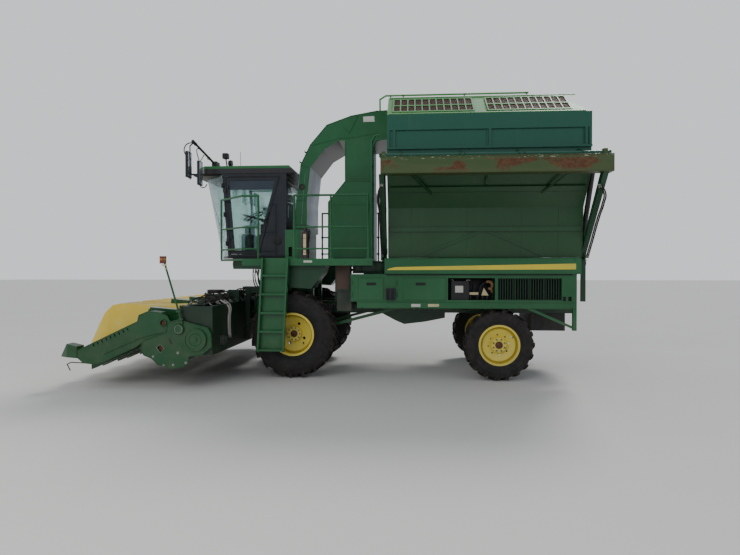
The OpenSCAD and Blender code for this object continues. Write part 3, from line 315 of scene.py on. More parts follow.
def woven(name, colour, other):
    """Seat cloth: a plain weave of threads 9 mm apart, both ways."""
    f = Finish(name, 0.9)
    f.shader.inputs["Sheen Weight"].default_value = 0.3
    frequency = 700.0
    warp = f.times(f.axis(f.place, "X"), frequency)
    weft = f.times(f.axis(f.place, "Y"), frequency)
    wave = f.times(f.sine(warp), f.sine(weft))
    tone = f.mix(f.ramp(wave, -0.4, 0.4), colour, other)
    tone = f.mix(f.ramp(f.noise(9.0, 4.0), 0.5, 0.8, 0.0, 0.4), tone, DUST)
    f.bump(wave, 0.0004, 0.5)
    f.bump(f.noise(24.0, 3.0), 0.002, 0.3)
    return f.done(tone)


def lamp_glass(name, colour):
    """A ribbed lamp lens."""
    f = Finish(name, 0.12)
    f.shader.inputs["Coat Weight"].default_value = 0.6
    rib = f.cells(120.0)
    tone = f.mix(f.ramp(rib, 0.0, 0.6), colour, [0.5 * c for c in colour[:3]] + [1.0])
    f.bump(rib, 0.0006, 0.6)
    return f.done(tone)


def core_mesh(name, colour):
    """A radiator core: fine fins between flat tubes, with painted shade that darkens the gaps between them.
    """
    f = Finish(name, 0.6, 0.4)
    pitch = 0.012
    up = f.sine(f.times(f.axis(f.place, "Z"), math.tau / pitch))
    side = f.sine(f.times(f.axis(f.place, "X"), math.tau / (pitch * 0.6)))
    # The near-black in the gaps is painted shade between the fins and tubes.
    tone = f.mix(f.ramp(f.plus(up, side), -0.8, 0.9), rgb(12, 13, 13), colour)
    f.bump(f.plus(up, side), 0.002, 0.6)
    return f.done(tone)


green = paint("machine_green", GREEN, GREEN_FADED, 0.15, 0.22, 0.36)
# Basket: the darker green is painted shade on the lower walls that face down, and the bluish green above
# 3.3 m is a painted sky reflection.
basket_green_with_painted_light = paint("basket_green_with_painted_light", rgb(20, 66, 30), rgb(28, 74, 38), 0.1, 0.2, 0.36, RUST,
                     rgb(18, 84, 66), 3.3)
lid_green = paint("lid_green", rgb(70, 140, 72), rgb(96, 156, 92), 0.2, 0.15, 0.5)
dark_green = paint("frame_green", DEEP_GREEN, rgb(20, 68, 40), 0.35, 0.25, 0.42)
header_green = paint("header_green", rgb(14, 70, 34), rgb(22, 82, 44), 0.7, 0.2, 0.36, rgb(118, 104, 84))
trough_green = paint("trough_green", rgb(8, 36, 20), rgb(14, 46, 28), 0.5, 0.2, 0.45)
yellow = paint("wheel_yellow", rgb(230, 208, 72), rgb(214, 196, 88), 0.5, 0.25, 0.36)
stripe_yellow = paint("stripe_yellow", rgb(226, 204, 52), rgb(206, 188, 66), 0.0, 0.2, 0.35)
hood_yellow = plastic("hood_yellow", YELLOW, rgb(232, 206, 92), 0.35, 0.22)
cab_black = two_tone("cab_frame_black", GREEN, rgb(14, 20, 28), 1.99, 0.25)
# The roof's near-black tone below 3.545 m is painted shade under its overhang.
roof_green_with_painted_shade = two_tone("roof_green_with_painted_shade", rgb(34, 30, 34), rgb(26, 104, 48), 3.545, 0.35)
slate = plastic("slate_lining", rgb(44, 54, 66), rgb(54, 62, 72), 0.5, 0.15)
duct_green = duct_paint()
black = plastic("black_plastic", rgb(18, 19, 21), rgb(30, 31, 33), 0.42, 0.2)
black_paint = paint("black_enamel", rgb(16, 17, 19), rgb(26, 27, 28), 0.2, 0.25, 0.3)
beam_paint = worn_beam()
cast = cast_metal()
steel = bare_metal("rod_steel", rgb(186, 188, 190), 0.22, (1.0, 1.0, 0.1))
worn_steel = bare_metal("worn_steel", rgb(140, 136, 128), 0.45, (0.2, 1.0, 1.0), 0.8)
zinc = bare_metal("bolt_zinc", rgb(176, 174, 164), 0.35, (1.0, 1.0, 1.0), 0.2)
# Pale finish for painted sun highlights on the tops of the green row covers.
painted_sun_highlight = paint("painted_sun_highlight", rgb(186, 196, 186), rgb(160, 172, 160), 0.2, 0.2, 0.4)
screen_wire = bare_metal("screen_wire", rgb(106, 78, 70), 0.6, (1.0, 1.0, 1.0), 0.7)
glass = tinted_glass("cab_tinted_glass")
tyre_finish = tyre_rubber()
hose_rubber = rubber("hose_rubber")
pale_hose = rubber("pale_hose_cover", rgb(176, 172, 164), 0.3, 0.55)
seat_cloth = woven("seat_cloth", rgb(44, 46, 50), rgb(66, 68, 70))
white_enamel = paint("blank_plate_white", rgb(206, 206, 200), rgb(186, 182, 170), 0.1, 0.3, 0.3)
bottle_enamel = paint("bottle_enamel", rgb(40, 34, 36), rgb(58, 44, 44), 0.1, 0.3, 0.3)
cream = plastic("cream_plastic", rgb(206, 194, 152), rgb(184, 170, 130), 0.5, 0.3)
tan = plastic("tan_pipe_clay", rgb(150, 118, 84), rgb(126, 96, 68), 0.6, 0.3)
tank_brown = plastic("tank_brown", rgb(82, 64, 54), rgb(64, 50, 44), 0.6, 0.3)
rust_metal = paint("rusted_steel", rgb(104, 62, 44), rgb(84, 50, 38), 0.0, 0.4, 0.8)
mirror_glass = bare_metal("mirror_glass", rgb(206, 212, 216), 0.04)
core_with_painted_gap_shade = core_mesh("radiator_core", rgb(58, 60, 60))
lens_clear = lamp_glass("lamp_lens_clear", rgb(214, 218, 214))
lens_amber = lamp_glass("lens_amber", rgb(222, 130, 26))
lens_red = lamp_glass("lens_red", rgb(160, 24, 20))

NODE_FINISH = {
    "main_frame": dark_green, "front_axle": dark_green, "rear_axle": dark_green, "tie_rod": dark_green,
    "rear_knuckle_left": dark_green, "rear_knuckle_right": dark_green, "radiator_grille": dark_green,
    "lower_duct": dark_green, "front_fenders": dark_green, "side_stripes": stripe_yellow,
    "engine_block": cast, "fuel_tank": black, "battery": black, "cab_shell": cab_black,
    "cab_roof": roof_green_with_painted_shade, "cab_glass": glass, "door_glass": glass, "seat": seat_cloth,
    "steering_column": black, "mirrors": black, "lamps": black, "fire_extinguisher": bottle_enamel,
    "basket_posts": dark_green, "basket_beam": beam_paint, "cylinder_feet": dark_green,
    "lift_pivots": dark_green, "cab_door": cab_black, "lid_screens": screen_wire, "air_duct": duct_green,
    "basket": basket_green_with_painted_light, "basket_lid": lid_green, "basket_barrels": black_paint,
    "basket_rods": steel, "header_frame": trough_green, "cross_auger": worn_steel,
    "row_units": header_green, "hoods": hood_yellow, "end_shields": header_green,
    "marker_poles": header_green, "header_barrels": black_paint, "header_rods": steel,
}
for node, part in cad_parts.items():
    finish = NODE_FINISH.get(node, green)
    if "_tyre_" in node:
        finish = tyre_finish
    if "_rim_" in node:
        finish = yellow
    for holder in part.material_slots:
        holder.material = finish


# Camera, light and floor

def set_camera():
    """The camera stands where the photo was taken from."""
    bpy.ops.object.camera_add(location=spot(1.943, -10.302, 1.77),
                              rotation=(math.radians(89.33), 0.0, math.radians(4.2)))
    camera = bpy.context.object
    camera.data.lens = 27.05
    camera.data.sensor_width = 36.0
    camera.data.clip_end = 400.0
    bpy.context.scene.camera = camera


def set_light():
    """An even sky, a soft sun, and a fill light on the side that the camera sees."""
    world = bpy.data.worlds.new("studio")
    bpy.context.scene.world = world
    world.use_nodes = True
    tree = world.node_tree
    back = tree.nodes["Background"]
    back.inputs["Color"].default_value = (0.86, 0.92, 1.0, 1.0)
    back.inputs["Strength"].default_value = 0.6
    seen = tree.nodes.new("ShaderNodeBackground")
    seen.inputs["Color"].default_value = (0.86, 0.88, 0.9, 1.0)
    seen.inputs["Strength"].default_value = 1.0
    path = tree.nodes.new("ShaderNodeLightPath")
    pick = tree.nodes.new("ShaderNodeMixShader")
    tree.links.new(path.outputs["Is Camera Ray"], pick.inputs["Fac"])
    tree.links.new(back.outputs[0], pick.inputs[1])
    tree.links.new(seen.outputs[0], pick.inputs[2])
    tree.links.new(pick.outputs[0], tree.nodes["World Output"].inputs["Surface"])
    bpy.ops.object.light_add(type="SUN", rotation=(math.radians(-38), math.radians(24), 0.0))
    sun = bpy.context.object.data
    sun.energy, sun.angle = 1.7, math.radians(16)
    bpy.ops.object.light_add(type="AREA", location=(-5.0, -13.0, 7.5),
                             rotation=(math.radians(62), 0.0, math.radians(-22)))
    bpy.context.object.visible_glossy = False
    fill = bpy.context.object.data
    fill.shape, fill.size, fill.size_y, fill.energy = "RECTANGLE", 9.0, 6.0, 520.0


def lay_floor():
    """A pale studio floor, which isn't part of the object."""
    bpy.ops.mesh.primitive_plane_add(size=160.0, location=(0.0, 20.0, 0.0))
    floor = bpy.context.object
    floor.name = "studio_floor"
    f = Finish("floor_pale", 0.9)
    tone = f.mix(f.noise(0.3, 3.0), (0.60, 0.58, 0.55, 1.0), (0.66, 0.64, 0.61, 1.0))
    floor.data.materials.append(f.done(tone))


set_camera()
set_light()
lay_floor()


# Modelling steps

def only(thing):
    """Leaves just this object selected and active."""
    bpy.ops.object.select_all(action="DESELECT")
    thing.select_set(True)
    bpy.context.view_layer.objects.active = thing


def settle(thing):
    """Puts the object's place, turn and size into its mesh."""
    only(thing)
    bpy.ops.object.transform_apply(location=True, rotation=True, scale=True)
    return thing


def with_modifier(thing, kind, **values):
    """Adds a modifier with these values and applies it."""
    only(thing)
    m = thing.modifiers.new(kind.lower(), kind)
    for name, value in values.items():
        setattr(m, name, value)
    bpy.ops.object.modifier_apply(modifier=m.name)
    return thing


def bevelled(thing, width, segments=2):
    """Rounds the edges that turn by more than 40 degrees."""
    return with_modifier(thing, "BEVEL", width=width, segments=segments, limit_method="ANGLE",
                         angle_limit=math.radians(40))


def smooth(thing, angle=35.0):
    """Shades smooth over edges that turn by less than an angle in degrees."""
    only(thing)
    bpy.ops.object.shade_smooth_by_angle(angle=math.radians(angle))
    return thing


def block(a, b, width=0.004, segments=2):
    """A box between two opposite corners given from the front axle, with its edges rounded."""
    a, b = spot(*a), spot(*b)
    bpy.ops.mesh.primitive_cube_add(size=1.0, location=(a + b) / 2)
    box = bpy.context.object
    box.scale = [abs(d) for d in b - a]
    settle(box)
    if width:
        bevelled(box, width, segments)
    return box


def drum(a, b, radius, sides=32, width=0.003, tip=None):
    """A round bar from a to b, given from the front axle; tip is its radius at b."""
    a, b = spot(*a), spot(*b)
    line = b - a
    end = radius if tip is None else tip
    turn = line.to_track_quat("Z", "Y").to_euler()
    bpy.ops.mesh.primitive_cone_add(vertices=sides, radius1=radius, radius2=end, depth=line.length,
                                    location=(a + b) / 2, rotation=turn)
    bar = settle(bpy.context.object)
    if width:
        bevelled(bar, width)
    return bar


def tube(points, radius, sides=12, bend=True):
    """A bent tube or hose through points given from the front axle."""
    curve = bpy.data.curves.new("route", "CURVE")
    curve.dimensions = "3D"
    curve.bevel_depth = radius
    curve.bevel_resolution = sides // 4
    curve.resolution_u = 8
    curve.use_fill_caps = True
    line = curve.splines.new("BEZIER" if bend else "POLY")
    if bend:
        line.bezier_points.add(len(points) - 1)
        for p, q in zip(line.bezier_points, points):
            p.co = spot(*q)
            p.handle_left_type = p.handle_right_type = "AUTO"
    else:
        line.points.add(len(points) - 1)
        for p, q in zip(line.points, points):
            p.co = (*spot(*q), 1.0)
    thing = bpy.data.objects.new("route", curve)
    bpy.context.collection.objects.link(thing)
    only(thing)
    bpy.ops.object.convert(target="MESH")
    return smooth(bpy.context.object, 60)


def bead(points, radius):
    """A thin straight-sided bead or seam through points given from the front axle."""
    return tube(points, radius, 8, False)


def edited(thing, *steps):
    """Takes steps in edit mode on the whole mesh."""
    only(thing)
    bpy.ops.object.mode_set(mode="EDIT")
    bpy.ops.mesh.select_all(action="SELECT")
    for step in steps:
        step()
    bpy.ops.object.mode_set(mode="OBJECT")
    return thing


def faces_out():
    """A step in edit mode: every face points outwards."""
    bpy.ops.mesh.select_all(action="SELECT")
    bpy.ops.mesh.normals_make_consistent(inside=False)


def sheet_ring(points, y0, y1, width=0.002):
    """A flat plate with an outline in X and Z from the front axle, between two values of Y."""
    bpy.ops.mesh.primitive_circle_add(vertices=len(points), radius=1.0, fill_type="NGON")
    plate = bpy.context.object
    for v, (x, z) in zip(plate.data.vertices, points):
        v.co = spot(x, y0, z)
    thick = {"value": (0.0, y1 - y0, 0.0)}
    edited(plate, lambda: bpy.ops.mesh.extrude_region_move(TRANSFORM_OT_translate=thick), faces_out)
    return bevelled(plate, width, 1) if width else plate


def copy_of(thing, change):
    """A copy with its own mesh, moved by a matrix."""
    twin = thing.copy()
    twin.data = thing.data.copy()
    bpy.context.collection.objects.link(twin)
    twin.data.transform(change)
    return twin


def piece(name, parts, finish, body="chassis", stands_for=()):
    """Joins the parts into one finished piece that rides on a body, and hides the model's parts that it
    stands for.
    """
    bpy.ops.object.select_all(action="DESELECT")
    for p in parts:
        p.select_set(True)
    bpy.context.view_layer.objects.active = parts[0]
    if len(parts) > 1:
        bpy.ops.object.join()
    whole = bpy.context.object
    whole.name = name
    whole.data.name = name
    settle(whole)
    whole.data.materials.clear()
    whole.data.materials.append(finish)
    smooth(whole)
    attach(whole, body)
    if stands_for:
        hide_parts(*stands_for)
    return whole


def turned(angle, axis, centre):
    """Turn about an axis through a point that is given from the front axle."""
    c = spot(*centre)
    return Matrix.Translation(c) @ Matrix.Rotation(angle, 4, axis) @ Matrix.Translation(-c)


# Small parts that repeat

def along(a, b, n):
    """n places, evenly from a to b."""
    a, b = Vector(a), Vector(b)
    return [a.lerp(b, i / (n - 1)) for i in range(n)]


def both(y):
    """The same distance out on the left and on the right."""
    return (-y, y)


def on_side(s, point):
    """A point given on the right, brought to the side s."""
    x, y, z = point
    return (x, s * y, z)


def pair(shape, a, b, *sizes):
    """A block or drum between two places on the right, and the same on the left."""
    return [shape(on_side(s, a), on_side(s, b), *sizes) for s in SIDES]


def throw_away(*things):
    """Removes samples that have been copied."""
    for thing in things:
        bpy.data.objects.remove(thing)


def bolt_heads(places, out, radius=0.011, depth=0.009):
    """Hex bolt heads on washers, one at each place, standing out along a direction."""
    out = Vector(out)
    washer = drum((0.0, 0.0, 0.0), out * 0.0025, 1.6 * radius, 14, 0.0)
    head = drum(out * 0.002, out * depth, radius, 6, 0.0, 0.86 * radius)
    made = []
    for place in places:
        move = Matrix.Translation(Vector(place))
        made += [copy_of(washer, move), copy_of(head, move)]
    throw_away(washer, head)
    return made


def ring_of(centre, radius, n):
    """n places round a circle about the axis Y, from its top."""
    c, arm = Vector(centre), Vector((0.0, 0.0, radius))
    return [c + Matrix.Rotation(i * math.tau / n, 3, "Y") @ arm for i in range(n)]


def torus(centre, major, minor, axis="Y", segments=48):
    """A round bead about an axis through a place given from the front axle."""
    turn = {"X": (0.0, math.pi / 2, 0.0), "Y": (math.pi / 2, 0.0, 0.0), "Z": (0.0, 0.0, 0.0)}[axis]
    bpy.ops.mesh.primitive_torus_add(major_radius=major, minor_radius=minor, major_segments=segments,
                                     minor_segments=8, rotation=turn, location=spot(*centre))
    return settle(bpy.context.object)


def fitting(place, out, radius=0.014):
    """A hose fitting: a hex, a collar and a crimped ferrule."""
    p, d = Vector(place), Vector(out).normalized()
    return [drum(p, p + d * 0.02, 1.25 * radius, 6, 0.002),
            drum(p + d * 0.018, p + d * 0.03, 0.9 * radius, 16, 0.001),
            drum(p + d * 0.028, p + d * 0.062, 1.15 * radius, 16, 0.003)]


def make_hose(name, routes, radius, body="chassis", finish=hose_rubber):
    """Hydraulic hoses that end in fittings."""
    piece(name, [tube(r, radius) for r in routes], finish, body)
    ends = []
    for r in routes:
        for end, after in ((r[0], r[1]), (r[-1], r[-2])):
            ends += fitting(end, Vector(after) - Vector(end), 1.15 * radius)
    piece(f"{name}_fittings", ends, zinc, body)


def pin_hinge(x, y, z, side):
    """A small welded hinge on a side wall: three knuckles on a pin."""
    return [drum((x, y + side * 0.006, z - 0.04 + 0.027 * i),
                 (x, y + side * 0.006, z - 0.015 + 0.027 * i), 0.009, 16, 0.001) for i in range(3)]


def paddle_latch(x, y, z, side):
    """A slim paddle latch: a shallow tray, a paddle that stands off it and a key barrel."""
    tray = block((x - 0.08, y, z - 0.022), (x + 0.08, y + side * 0.005, z + 0.022), 0.003)
    paddle = block((x - 0.07, y + side * 0.004, z - 0.012), (x + 0.045, y + side * 0.014, z + 0.016),
                   0.005, 3)
    key = drum((x + 0.062, y, z), (x + 0.062, y + side * 0.012, z), 0.009, 20, 0.002)
    return [tray, paddle, key]


def rim_bead(outline, y, radius=0.006):
    """The folded edge round a plate: a bead that follows its outline."""
    points = [(x, y, z) for x, z in outline]
    return bead(points + points[:1], radius)


# Tyres

def tyre_carcass(centre, crown, half, seat_r):
    """The ring of a tyre: a round-shouldered profile, spun about the axle in edit mode."""
    mid = (seat_r + crown) / 2
    profile = [(seat_r + 0.001, 0.76 * half), (seat_r + 0.02, 0.84 * half), (seat_r + 0.045, 0.86 * half),
               (seat_r + 0.07, 0.93 * half), (mid - 0.03, 0.985 * half), (mid + 0.03, 0.995 * half),
               (crown - 0.09, 0.96 * half), (crown - 0.05, 0.93 * half), (crown - 0.018, 0.84 * half),
               (crown - 0.004, 0.6 * half), (crown, 0.0)]
    ring = profile + [(r, -y) for r, y in reversed(profile[:-1])]
    bpy.ops.mesh.primitive_circle_add(vertices=len(ring), radius=1.0)
    tyre = bpy.context.object
    c = spot(*centre)
    for v, (r, y) in zip(tyre.data.vertices, ring):
        v.co = c + Vector((0.0, y, r))
    return edited(tyre,
                  lambda: bpy.ops.mesh.spin(steps=72, angle=math.tau, center=c, axis=(0.0, 1.0, 0.0)),
                  lambda: bpy.ops.mesh.select_all(action="SELECT"),
                  lambda: bpy.ops.mesh.remove_doubles(threshold=0.0004), faces_out)


def tyre_lug(centre, crown, half, height, side):
    """One bar lug: a block over the crown, extruded twice, back and down over the shoulder."""
    c = spot(*centre)
    stations = [(0.02, 0.0, 0.030, 0.0, 0.03), (0.5, -0.29, 0.032, 0.0, 0.03),
                (0.93, -0.56, 0.036, 0.016, 0.075)]

    def section(station):
        share, back, wide, drop, sunk = station
        x, y = back * half, side * share * half
        top = math.sqrt((crown + height - drop) ** 2 - x * x) - 0.002
        base = crown - sunk
        foot, crest = 0.62 * wide, 0.45 * wide
        corners = ((-foot, base), (-crest, top), (crest, top), (foot, base))
        return [c + Vector((x + dx, y, r)) for dx, r in corners]

    bpy.ops.mesh.primitive_plane_add(size=1.0)
    lug = bpy.context.object
    last = section(stations[0])
    place_corners(lug, [0, 2, 3, 1], last)
    for station in stations[1:]:
        only(lug)
        bpy.ops.object.mode_set(mode="EDIT")
        bpy.ops.mesh.extrude_region_move()
        bpy.ops.object.mode_set(mode="OBJECT")
        new = [v for v in lug.data.vertices if v.select]
        ends = [min(new, key=lambda v: (v.co - corner).length).index for corner in last]
        last = section(station)
        place_corners(lug, ends, last)
    return bevelled(edited(lug, faces_out), 0.005, 2)


def place_corners(thing, order, places):
    """Moves the numbered corners to new places, one for one."""
    for i, place in zip(order, places):
        thing.data.vertices[i].co = place


def mark_wear(tyre, centre, crown):
    """Dust share for the rubber: most between the lugs, less on the sidewall."""
    c = spot(*centre)
    wear = tyre.data.attributes.new("wear", "FLOAT", "POINT")
    for v, w in zip(tyre.data.vertices, wear.data):
        r = math.hypot(v.co.x - c.x, v.co.z - c.z)
        w.value = 0.95 if r > crown - 0.012 else 0.35 + 0.3 * max(0.0, (r - crown + 0.2) / 0.2)


def make_tyre(name, centre, diameter, width, seat_r, lugs, height, body, node):
    """A tyre with two staggered rows of lugs, and raised rings at its beads and shoulders."""
    crown, half = diameter / 2 - height, width / 2
    parts = [tyre_carcass(centre, crown, half, seat_r)]
    for side in SIDES:
        lug = tyre_lug(centre, crown, half, height, side)
        for i in range(lugs):
            parts.append(copy_of(lug, turned((i + side / 4) * math.tau / lugs, "Y", centre)))
        throw_away(lug)
    for r, share in ((seat_r + 0.075, 0.93), (crown - 0.1, 0.955)):
        for side in SIDES:
            x, y, z = centre
            parts.append(torus((x, y + side * share * half, z), r, 0.006, segments=72))
    tyre = piece(name, parts, tyre_finish, body, stands_for=(node,))
    mark_wear(tyre, centre, crown)


FRONT_HUB = (0.0, 1.065, 0.725)
REAR_HUB = (WHEELBASE, 1.145, 0.575)
SIDE_NAMES = {"left": -1, "right": 1}
for side_name, outward in SIDE_NAMES.items():
    make_tyre(f"front_tyre_{side_name}_tread", on_side(outward, FRONT_HUB), diameter=1.45,
              width=0.467, seat_r=0.335, lugs=20, height=0.042, body=f"front_wheel_{side_name}",
              node=f"front_tyre_{side_name}")
    make_tyre(f"rear_tyre_{side_name}_tread", on_side(outward, REAR_HUB), diameter=1.15,
              width=0.315, seat_r=0.308, lugs=18, height=0.034, body=f"rear_wheel_{side_name}",
              node=f"rear_tyre_{side_name}")


# Wheel fittings

def hex_nut(centre, side):
    """A wheel nut with a chamfered outer face, and its stud's end."""
    (x, y, z), radius, depth = centre, 0.014, 0.016
    nut = drum((x, y, z), (x, y + side * depth, z), radius, 6, 0.002)
    stud = drum((x, y + side * depth * 0.9, z), (x, y + side * (depth + 0.009), z), radius * 0.5, 12,
                0.0015)
    return [nut, stud]


def make_wheel_fittings(name, centre, side, nuts, ring, valve, body):
    """A ring of wheel nuts, the rusted hub cap and the valve on a rim's outer face."""
    x, y, z = centre
    face = y + side * 0.0902
    sample = hex_nut((x, face, z + ring), side)
    parts = [copy_of(s, turned((i + 0.5) * math.tau / nuts, "Y", (x, face, z))) for i in range(nuts)
             for s in sample]
    throw_away(*sample)
    piece(f"{name}_nuts", parts, worn_steel, body)
    cap = [drum((x, y + side * 0.061, z), (x, y + side * 0.104, z), 0.052, 40, 0.006),
           drum((x, y + side * 0.1, z), (x, y + side * 0.112, z), 0.034, 32, 0.004, 0.026)]
    piece(f"{name}_hub_cap", cap, rust_metal, body)
    vx, vz = valve
    bend = (x + 1.05 * vx, y + side * 0.105, z + 1.05 * vz)
    stem = tube([(x + vx, y + side * 0.05, z + vz), (x + vx, y + side * 0.085, z + vz), bend], 0.005)
    top = drum(bend, (x + 1.1 * vx, y + side * 0.115, z + 1.1 * vz), 0.008, 16, 0.002)
    piece(f"{name}_valve", [stem, top], black, body)


for side_name, outward in SIDE_NAMES.items():
    make_wheel_fittings(f"front_rim_{side_name}", on_side(outward, FRONT_HUB), outward, nuts=10,
                        ring=0.099, valve=(0.1527, -0.1527), body=f"front_wheel_{side_name}")
    make_wheel_fittings(f"rear_rim_{side_name}", on_side(outward, REAR_HUB), outward, nuts=8,
                        ring=0.095, valve=(0.2035, 0.1272), body=f"rear_wheel_{side_name}")


# Screens in the lid

LID_EDGE_Y = -1.0
LID_TOP = 4.65
LID_SLOPE = math.atan2(0.4497, 0.6)


def lid_point(x, down, out):
    """A point on the lid's left slope, a distance down from the flat top and out from the sheet."""
    return (x, LID_EDGE_Y - down * math.cos(LID_SLOPE) - out * math.sin(LID_SLOPE),
            LID_TOP - down * math.sin(LID_SLOPE) + out * math.cos(LID_SLOPE))


def slope_bar(x0, x1, low, high, out0, out1, width=0.0015):
    """A bar that lies on the lid's slope: along it from low to high, and out from its face."""
    bar = block((x0, 0.0, 0.0), (x1, 0.01, 0.01), 0.0)
    for v in bar.data.vertices:
        x = x0 if v.co.x < (x0 + x1) / 2 + AXLE_X else x1
        down = low if v.co.y < 0.005 else high
        out = out0 if v.co.z < 0.005 else out1
        v.co = spot(*lid_point(x, down, out))
    return bevelled(bar, width, 1) if width else bar


def spread(low, high, n):
    """n values, evenly from low to high."""
    return [low + i * (high - low) / (n - 1) for i in range(n)]


def make_screens():
    """Two framed screens of woven wire, eleven panes by two, over the dark inside of the lid."""
    length, panes, top, low, bar, wire = 1.28, 11, 0.10, 0.665, 0.02, 0.0016
    for name, x0 in (("front", 1.651), ("rear", 3.131)):
        x1 = x0 + length
        rails = (top, (top + low) / 2, low - 0.03)
        frame_bars = [slope_bar(x0, x1, d, d + 0.03, 0.002, 0.02) for d in rails]
        step = (length - bar) / panes
        frame_bars += [slope_bar(x0 + i * step, x0 + i * step + bar, top, low, 0.002, 0.019)
                       for i in range(panes + 1)]
        piece(f"screen_{name}_frame", frame_bars, lid_green, "basket_lid")
        wires = [slope_bar(x - wire, x + wire, top + 0.01, low - 0.01, 0.0075, 0.0105, 0)
                 for x in spread(x0 + 0.01, x1 - 0.01, 88)]
        wires += [slope_bar(x0 + 0.004, x1 - 0.004, d - wire, d + wire, 0.0068, 0.0098, 0)
                  for d in spread(top + 0.015, low - 0.015, 38)]
        piece(f"screen_{name}_wire", wires, screen_wire, "basket_lid")


make_screens()


# Cab fittings

def make_cushion(low, high, bulge):
    """A crowned seat cushion: a box whose faces swell across its thin direction and draw in at its rim."""
    pad = edited(block(low, high, 0.0), lambda: bpy.ops.mesh.subdivide(number_cuts=5))
    lo, hi = spot(*low), spot(*high)
    thin = min(range(3), key=lambda k: (hi - lo)[k])
    wide = [k for k in range(3) if k != thin]
    for v in pad.data.vertices:
        share = [(v.co[k] - lo[k]) / (hi[k] - lo[k]) * 2 - 1 for k in range(3)]
        crown = 1.0
        for k in wide:
            crown *= 1 - share[k] ** 4
        v.co[thin] += math.copysign(bulge * crown, share[thin])
        for k in wide:
            v.co[k] -= 0.35 * bulge * share[k] * (1 - share[thin] ** 2)
    return with_modifier(pad, "SUBSURF", levels=2, render_levels=2)


def make_seat():
    """Base and bellows, then the cushions: seat, back and head that lean back, and two arm rests."""
    base = [block((-0.80, -0.2, 2.03), (-0.45, 0.2, 2.30), 0.02)]
    base += [block((-0.79 + 0.006 * i, -0.19 + 0.004 * i, 2.1 + 0.05 * i),
                   (-0.46, 0.19 - 0.004 * i, 2.125 + 0.05 * i), 0.01) for i in range(4)]
    piece("seat_base", base, black)
    cushions = [make_cushion((-0.86, -0.25, 2.33), (-0.42, 0.25, 2.44), 0.02),
                make_cushion((-0.49, -0.23, 2.44), (-0.37, 0.23, 3.05), 0.02),
                make_cushion((-0.47, -0.13, 3.07), (-0.38, 0.13, 3.2), 0.012)]
    for leaning in cushions[1:]:
        leaning.data.transform(turned(math.radians(9), "Y", (-0.43, 0.0, 2.44)))
    cushions += [make_cushion((-0.78, y - 0.035, 2.66), (-0.42, y + 0.035, 2.72), 0.006)
                 for y in both(0.3)]
    cover = piece("seat_cushions", cushions, seat_cloth, stands_for=("seat",))


make_seat()


def make_cab_fittings():
    """Wiper, door handle, sun visor, the side panels' round vents and the roof's two square lamps."""
    piece("wiper", [drum((-1.815, -0.07, 3.25), (-1.62, -0.12, 2.62), 0.007, 12, 0.002)], black)
    grip = [(-0.56, -0.835, 2.62), (-0.56, -0.868, 2.62), (-0.50, -0.868, 2.78), (-0.50, -0.835, 2.78)]
    handle = [tube(grip, 0.009, 12, False), block((-0.60, -0.842, 2.54), (-0.53, -0.829, 2.66), 0.004)]
    piece("cab_door_handle", handle, black, "cab_door")
    visor = [(-1.70, 3.455), (-1.62, 3.456), (-1.40, 3.456), (-1.40, 3.452), (-1.62, 3.45), (-1.70, 3.43)]
    piece("sun_visor", [sheet_ring(visor, -0.6, 0.6, 0.001)], black)
    vents = []
    for s in SIDES:
        y = s * 0.83
        vents.append(drum((-0.36, y - s * 0.006, 2.29), (-0.36, y + s * 0.012, 2.29), 0.075, 40, 0.004))
        for k in range(3):
            z = 2.25 + 0.04 * k
            vents.append(block((-0.41, y, z - 0.006), (-0.31, y + s * 0.018, z + 0.006), 0.002))
    piece("cab_round_vents", vents, black)
    lamps = pair(drum, (-1.55, 0.45, 3.59), (-1.55, 0.45, 3.64), 0.02, 20, 0.003)
    lamps += [block((-1.62, y - 0.09, 3.64), (-1.53, y + 0.09, 3.74), 0.012, 3) for y in both(0.45)]
    piece("roof_work_lamps", lamps, black)
    lens = [block((-1.626, y - 0.078, 3.652), (-1.619, y + 0.078, 3.728), 0.004) for y in both(0.45)]
    piece("roof_work_lamp_lenses", lens, lens_clear)


make_cab_fittings()


def make_lamp_faces():
    """Lenses of the two lamps under the cab and of the round one on the roof."""
    faces = pair(drum, (-1.231, 0.5, 1.89), (-1.243, 0.5, 1.89), 0.047, 32, 0.004)
    faces.append(drum((-1.481, 0.0, 3.8), (-1.492, 0.0, 3.8), 0.047, 32, 0.004))
    piece("round_lamp_lenses", faces, lens_clear)


make_lamp_faces()


def make_bottle_head():
    """Extinguisher: levers, neck, the bracket with its bands, and the short hose down its side."""
    x, y, z = 0.230, -1.340, 1.97
    levers = [block((x - 0.012, y - 0.10, z + 0.470), (x + 0.012, y + 0.02, z + 0.482), 0.003),
              block((x - 0.012, y - 0.09, z + 0.495), (x + 0.012, y + 0.02, z + 0.507), 0.003),
              drum((x, y, z + 0.46), (x, y, z + 0.505), 0.016, 20)]
    piece("bottle_levers", levers, worn_steel)
    bands = [torus((x, y, z + h), 0.064, 0.004, "Z", 40) for h in (0.10, 0.33)]
    bands.append(block((x - 0.02, y + 0.06, z), (x + 0.02, y + 0.075, z + 0.40), 0.003))
    piece("bottle_bracket", bands, black)
    hose = tube([(x + 0.02, y, z + 0.475), (x + 0.07, y - 0.03, z + 0.46),
                 (x + 0.078, y - 0.045, z + 0.36), (x + 0.055, y - 0.06, z + 0.2),
                 (x + 0.045, y - 0.062, z + 0.12)], 0.008)
    piece("bottle_hose", [hose], hose_rubber)


make_bottle_head()


def rungs():
    """X and Z of the front edge of each rung of the leaning ladder."""
    return [(-0.447 - 0.082 * (1.98 - z) / 1.51, z) for z in [0.48 + 0.3 * i for i in range(5)]]


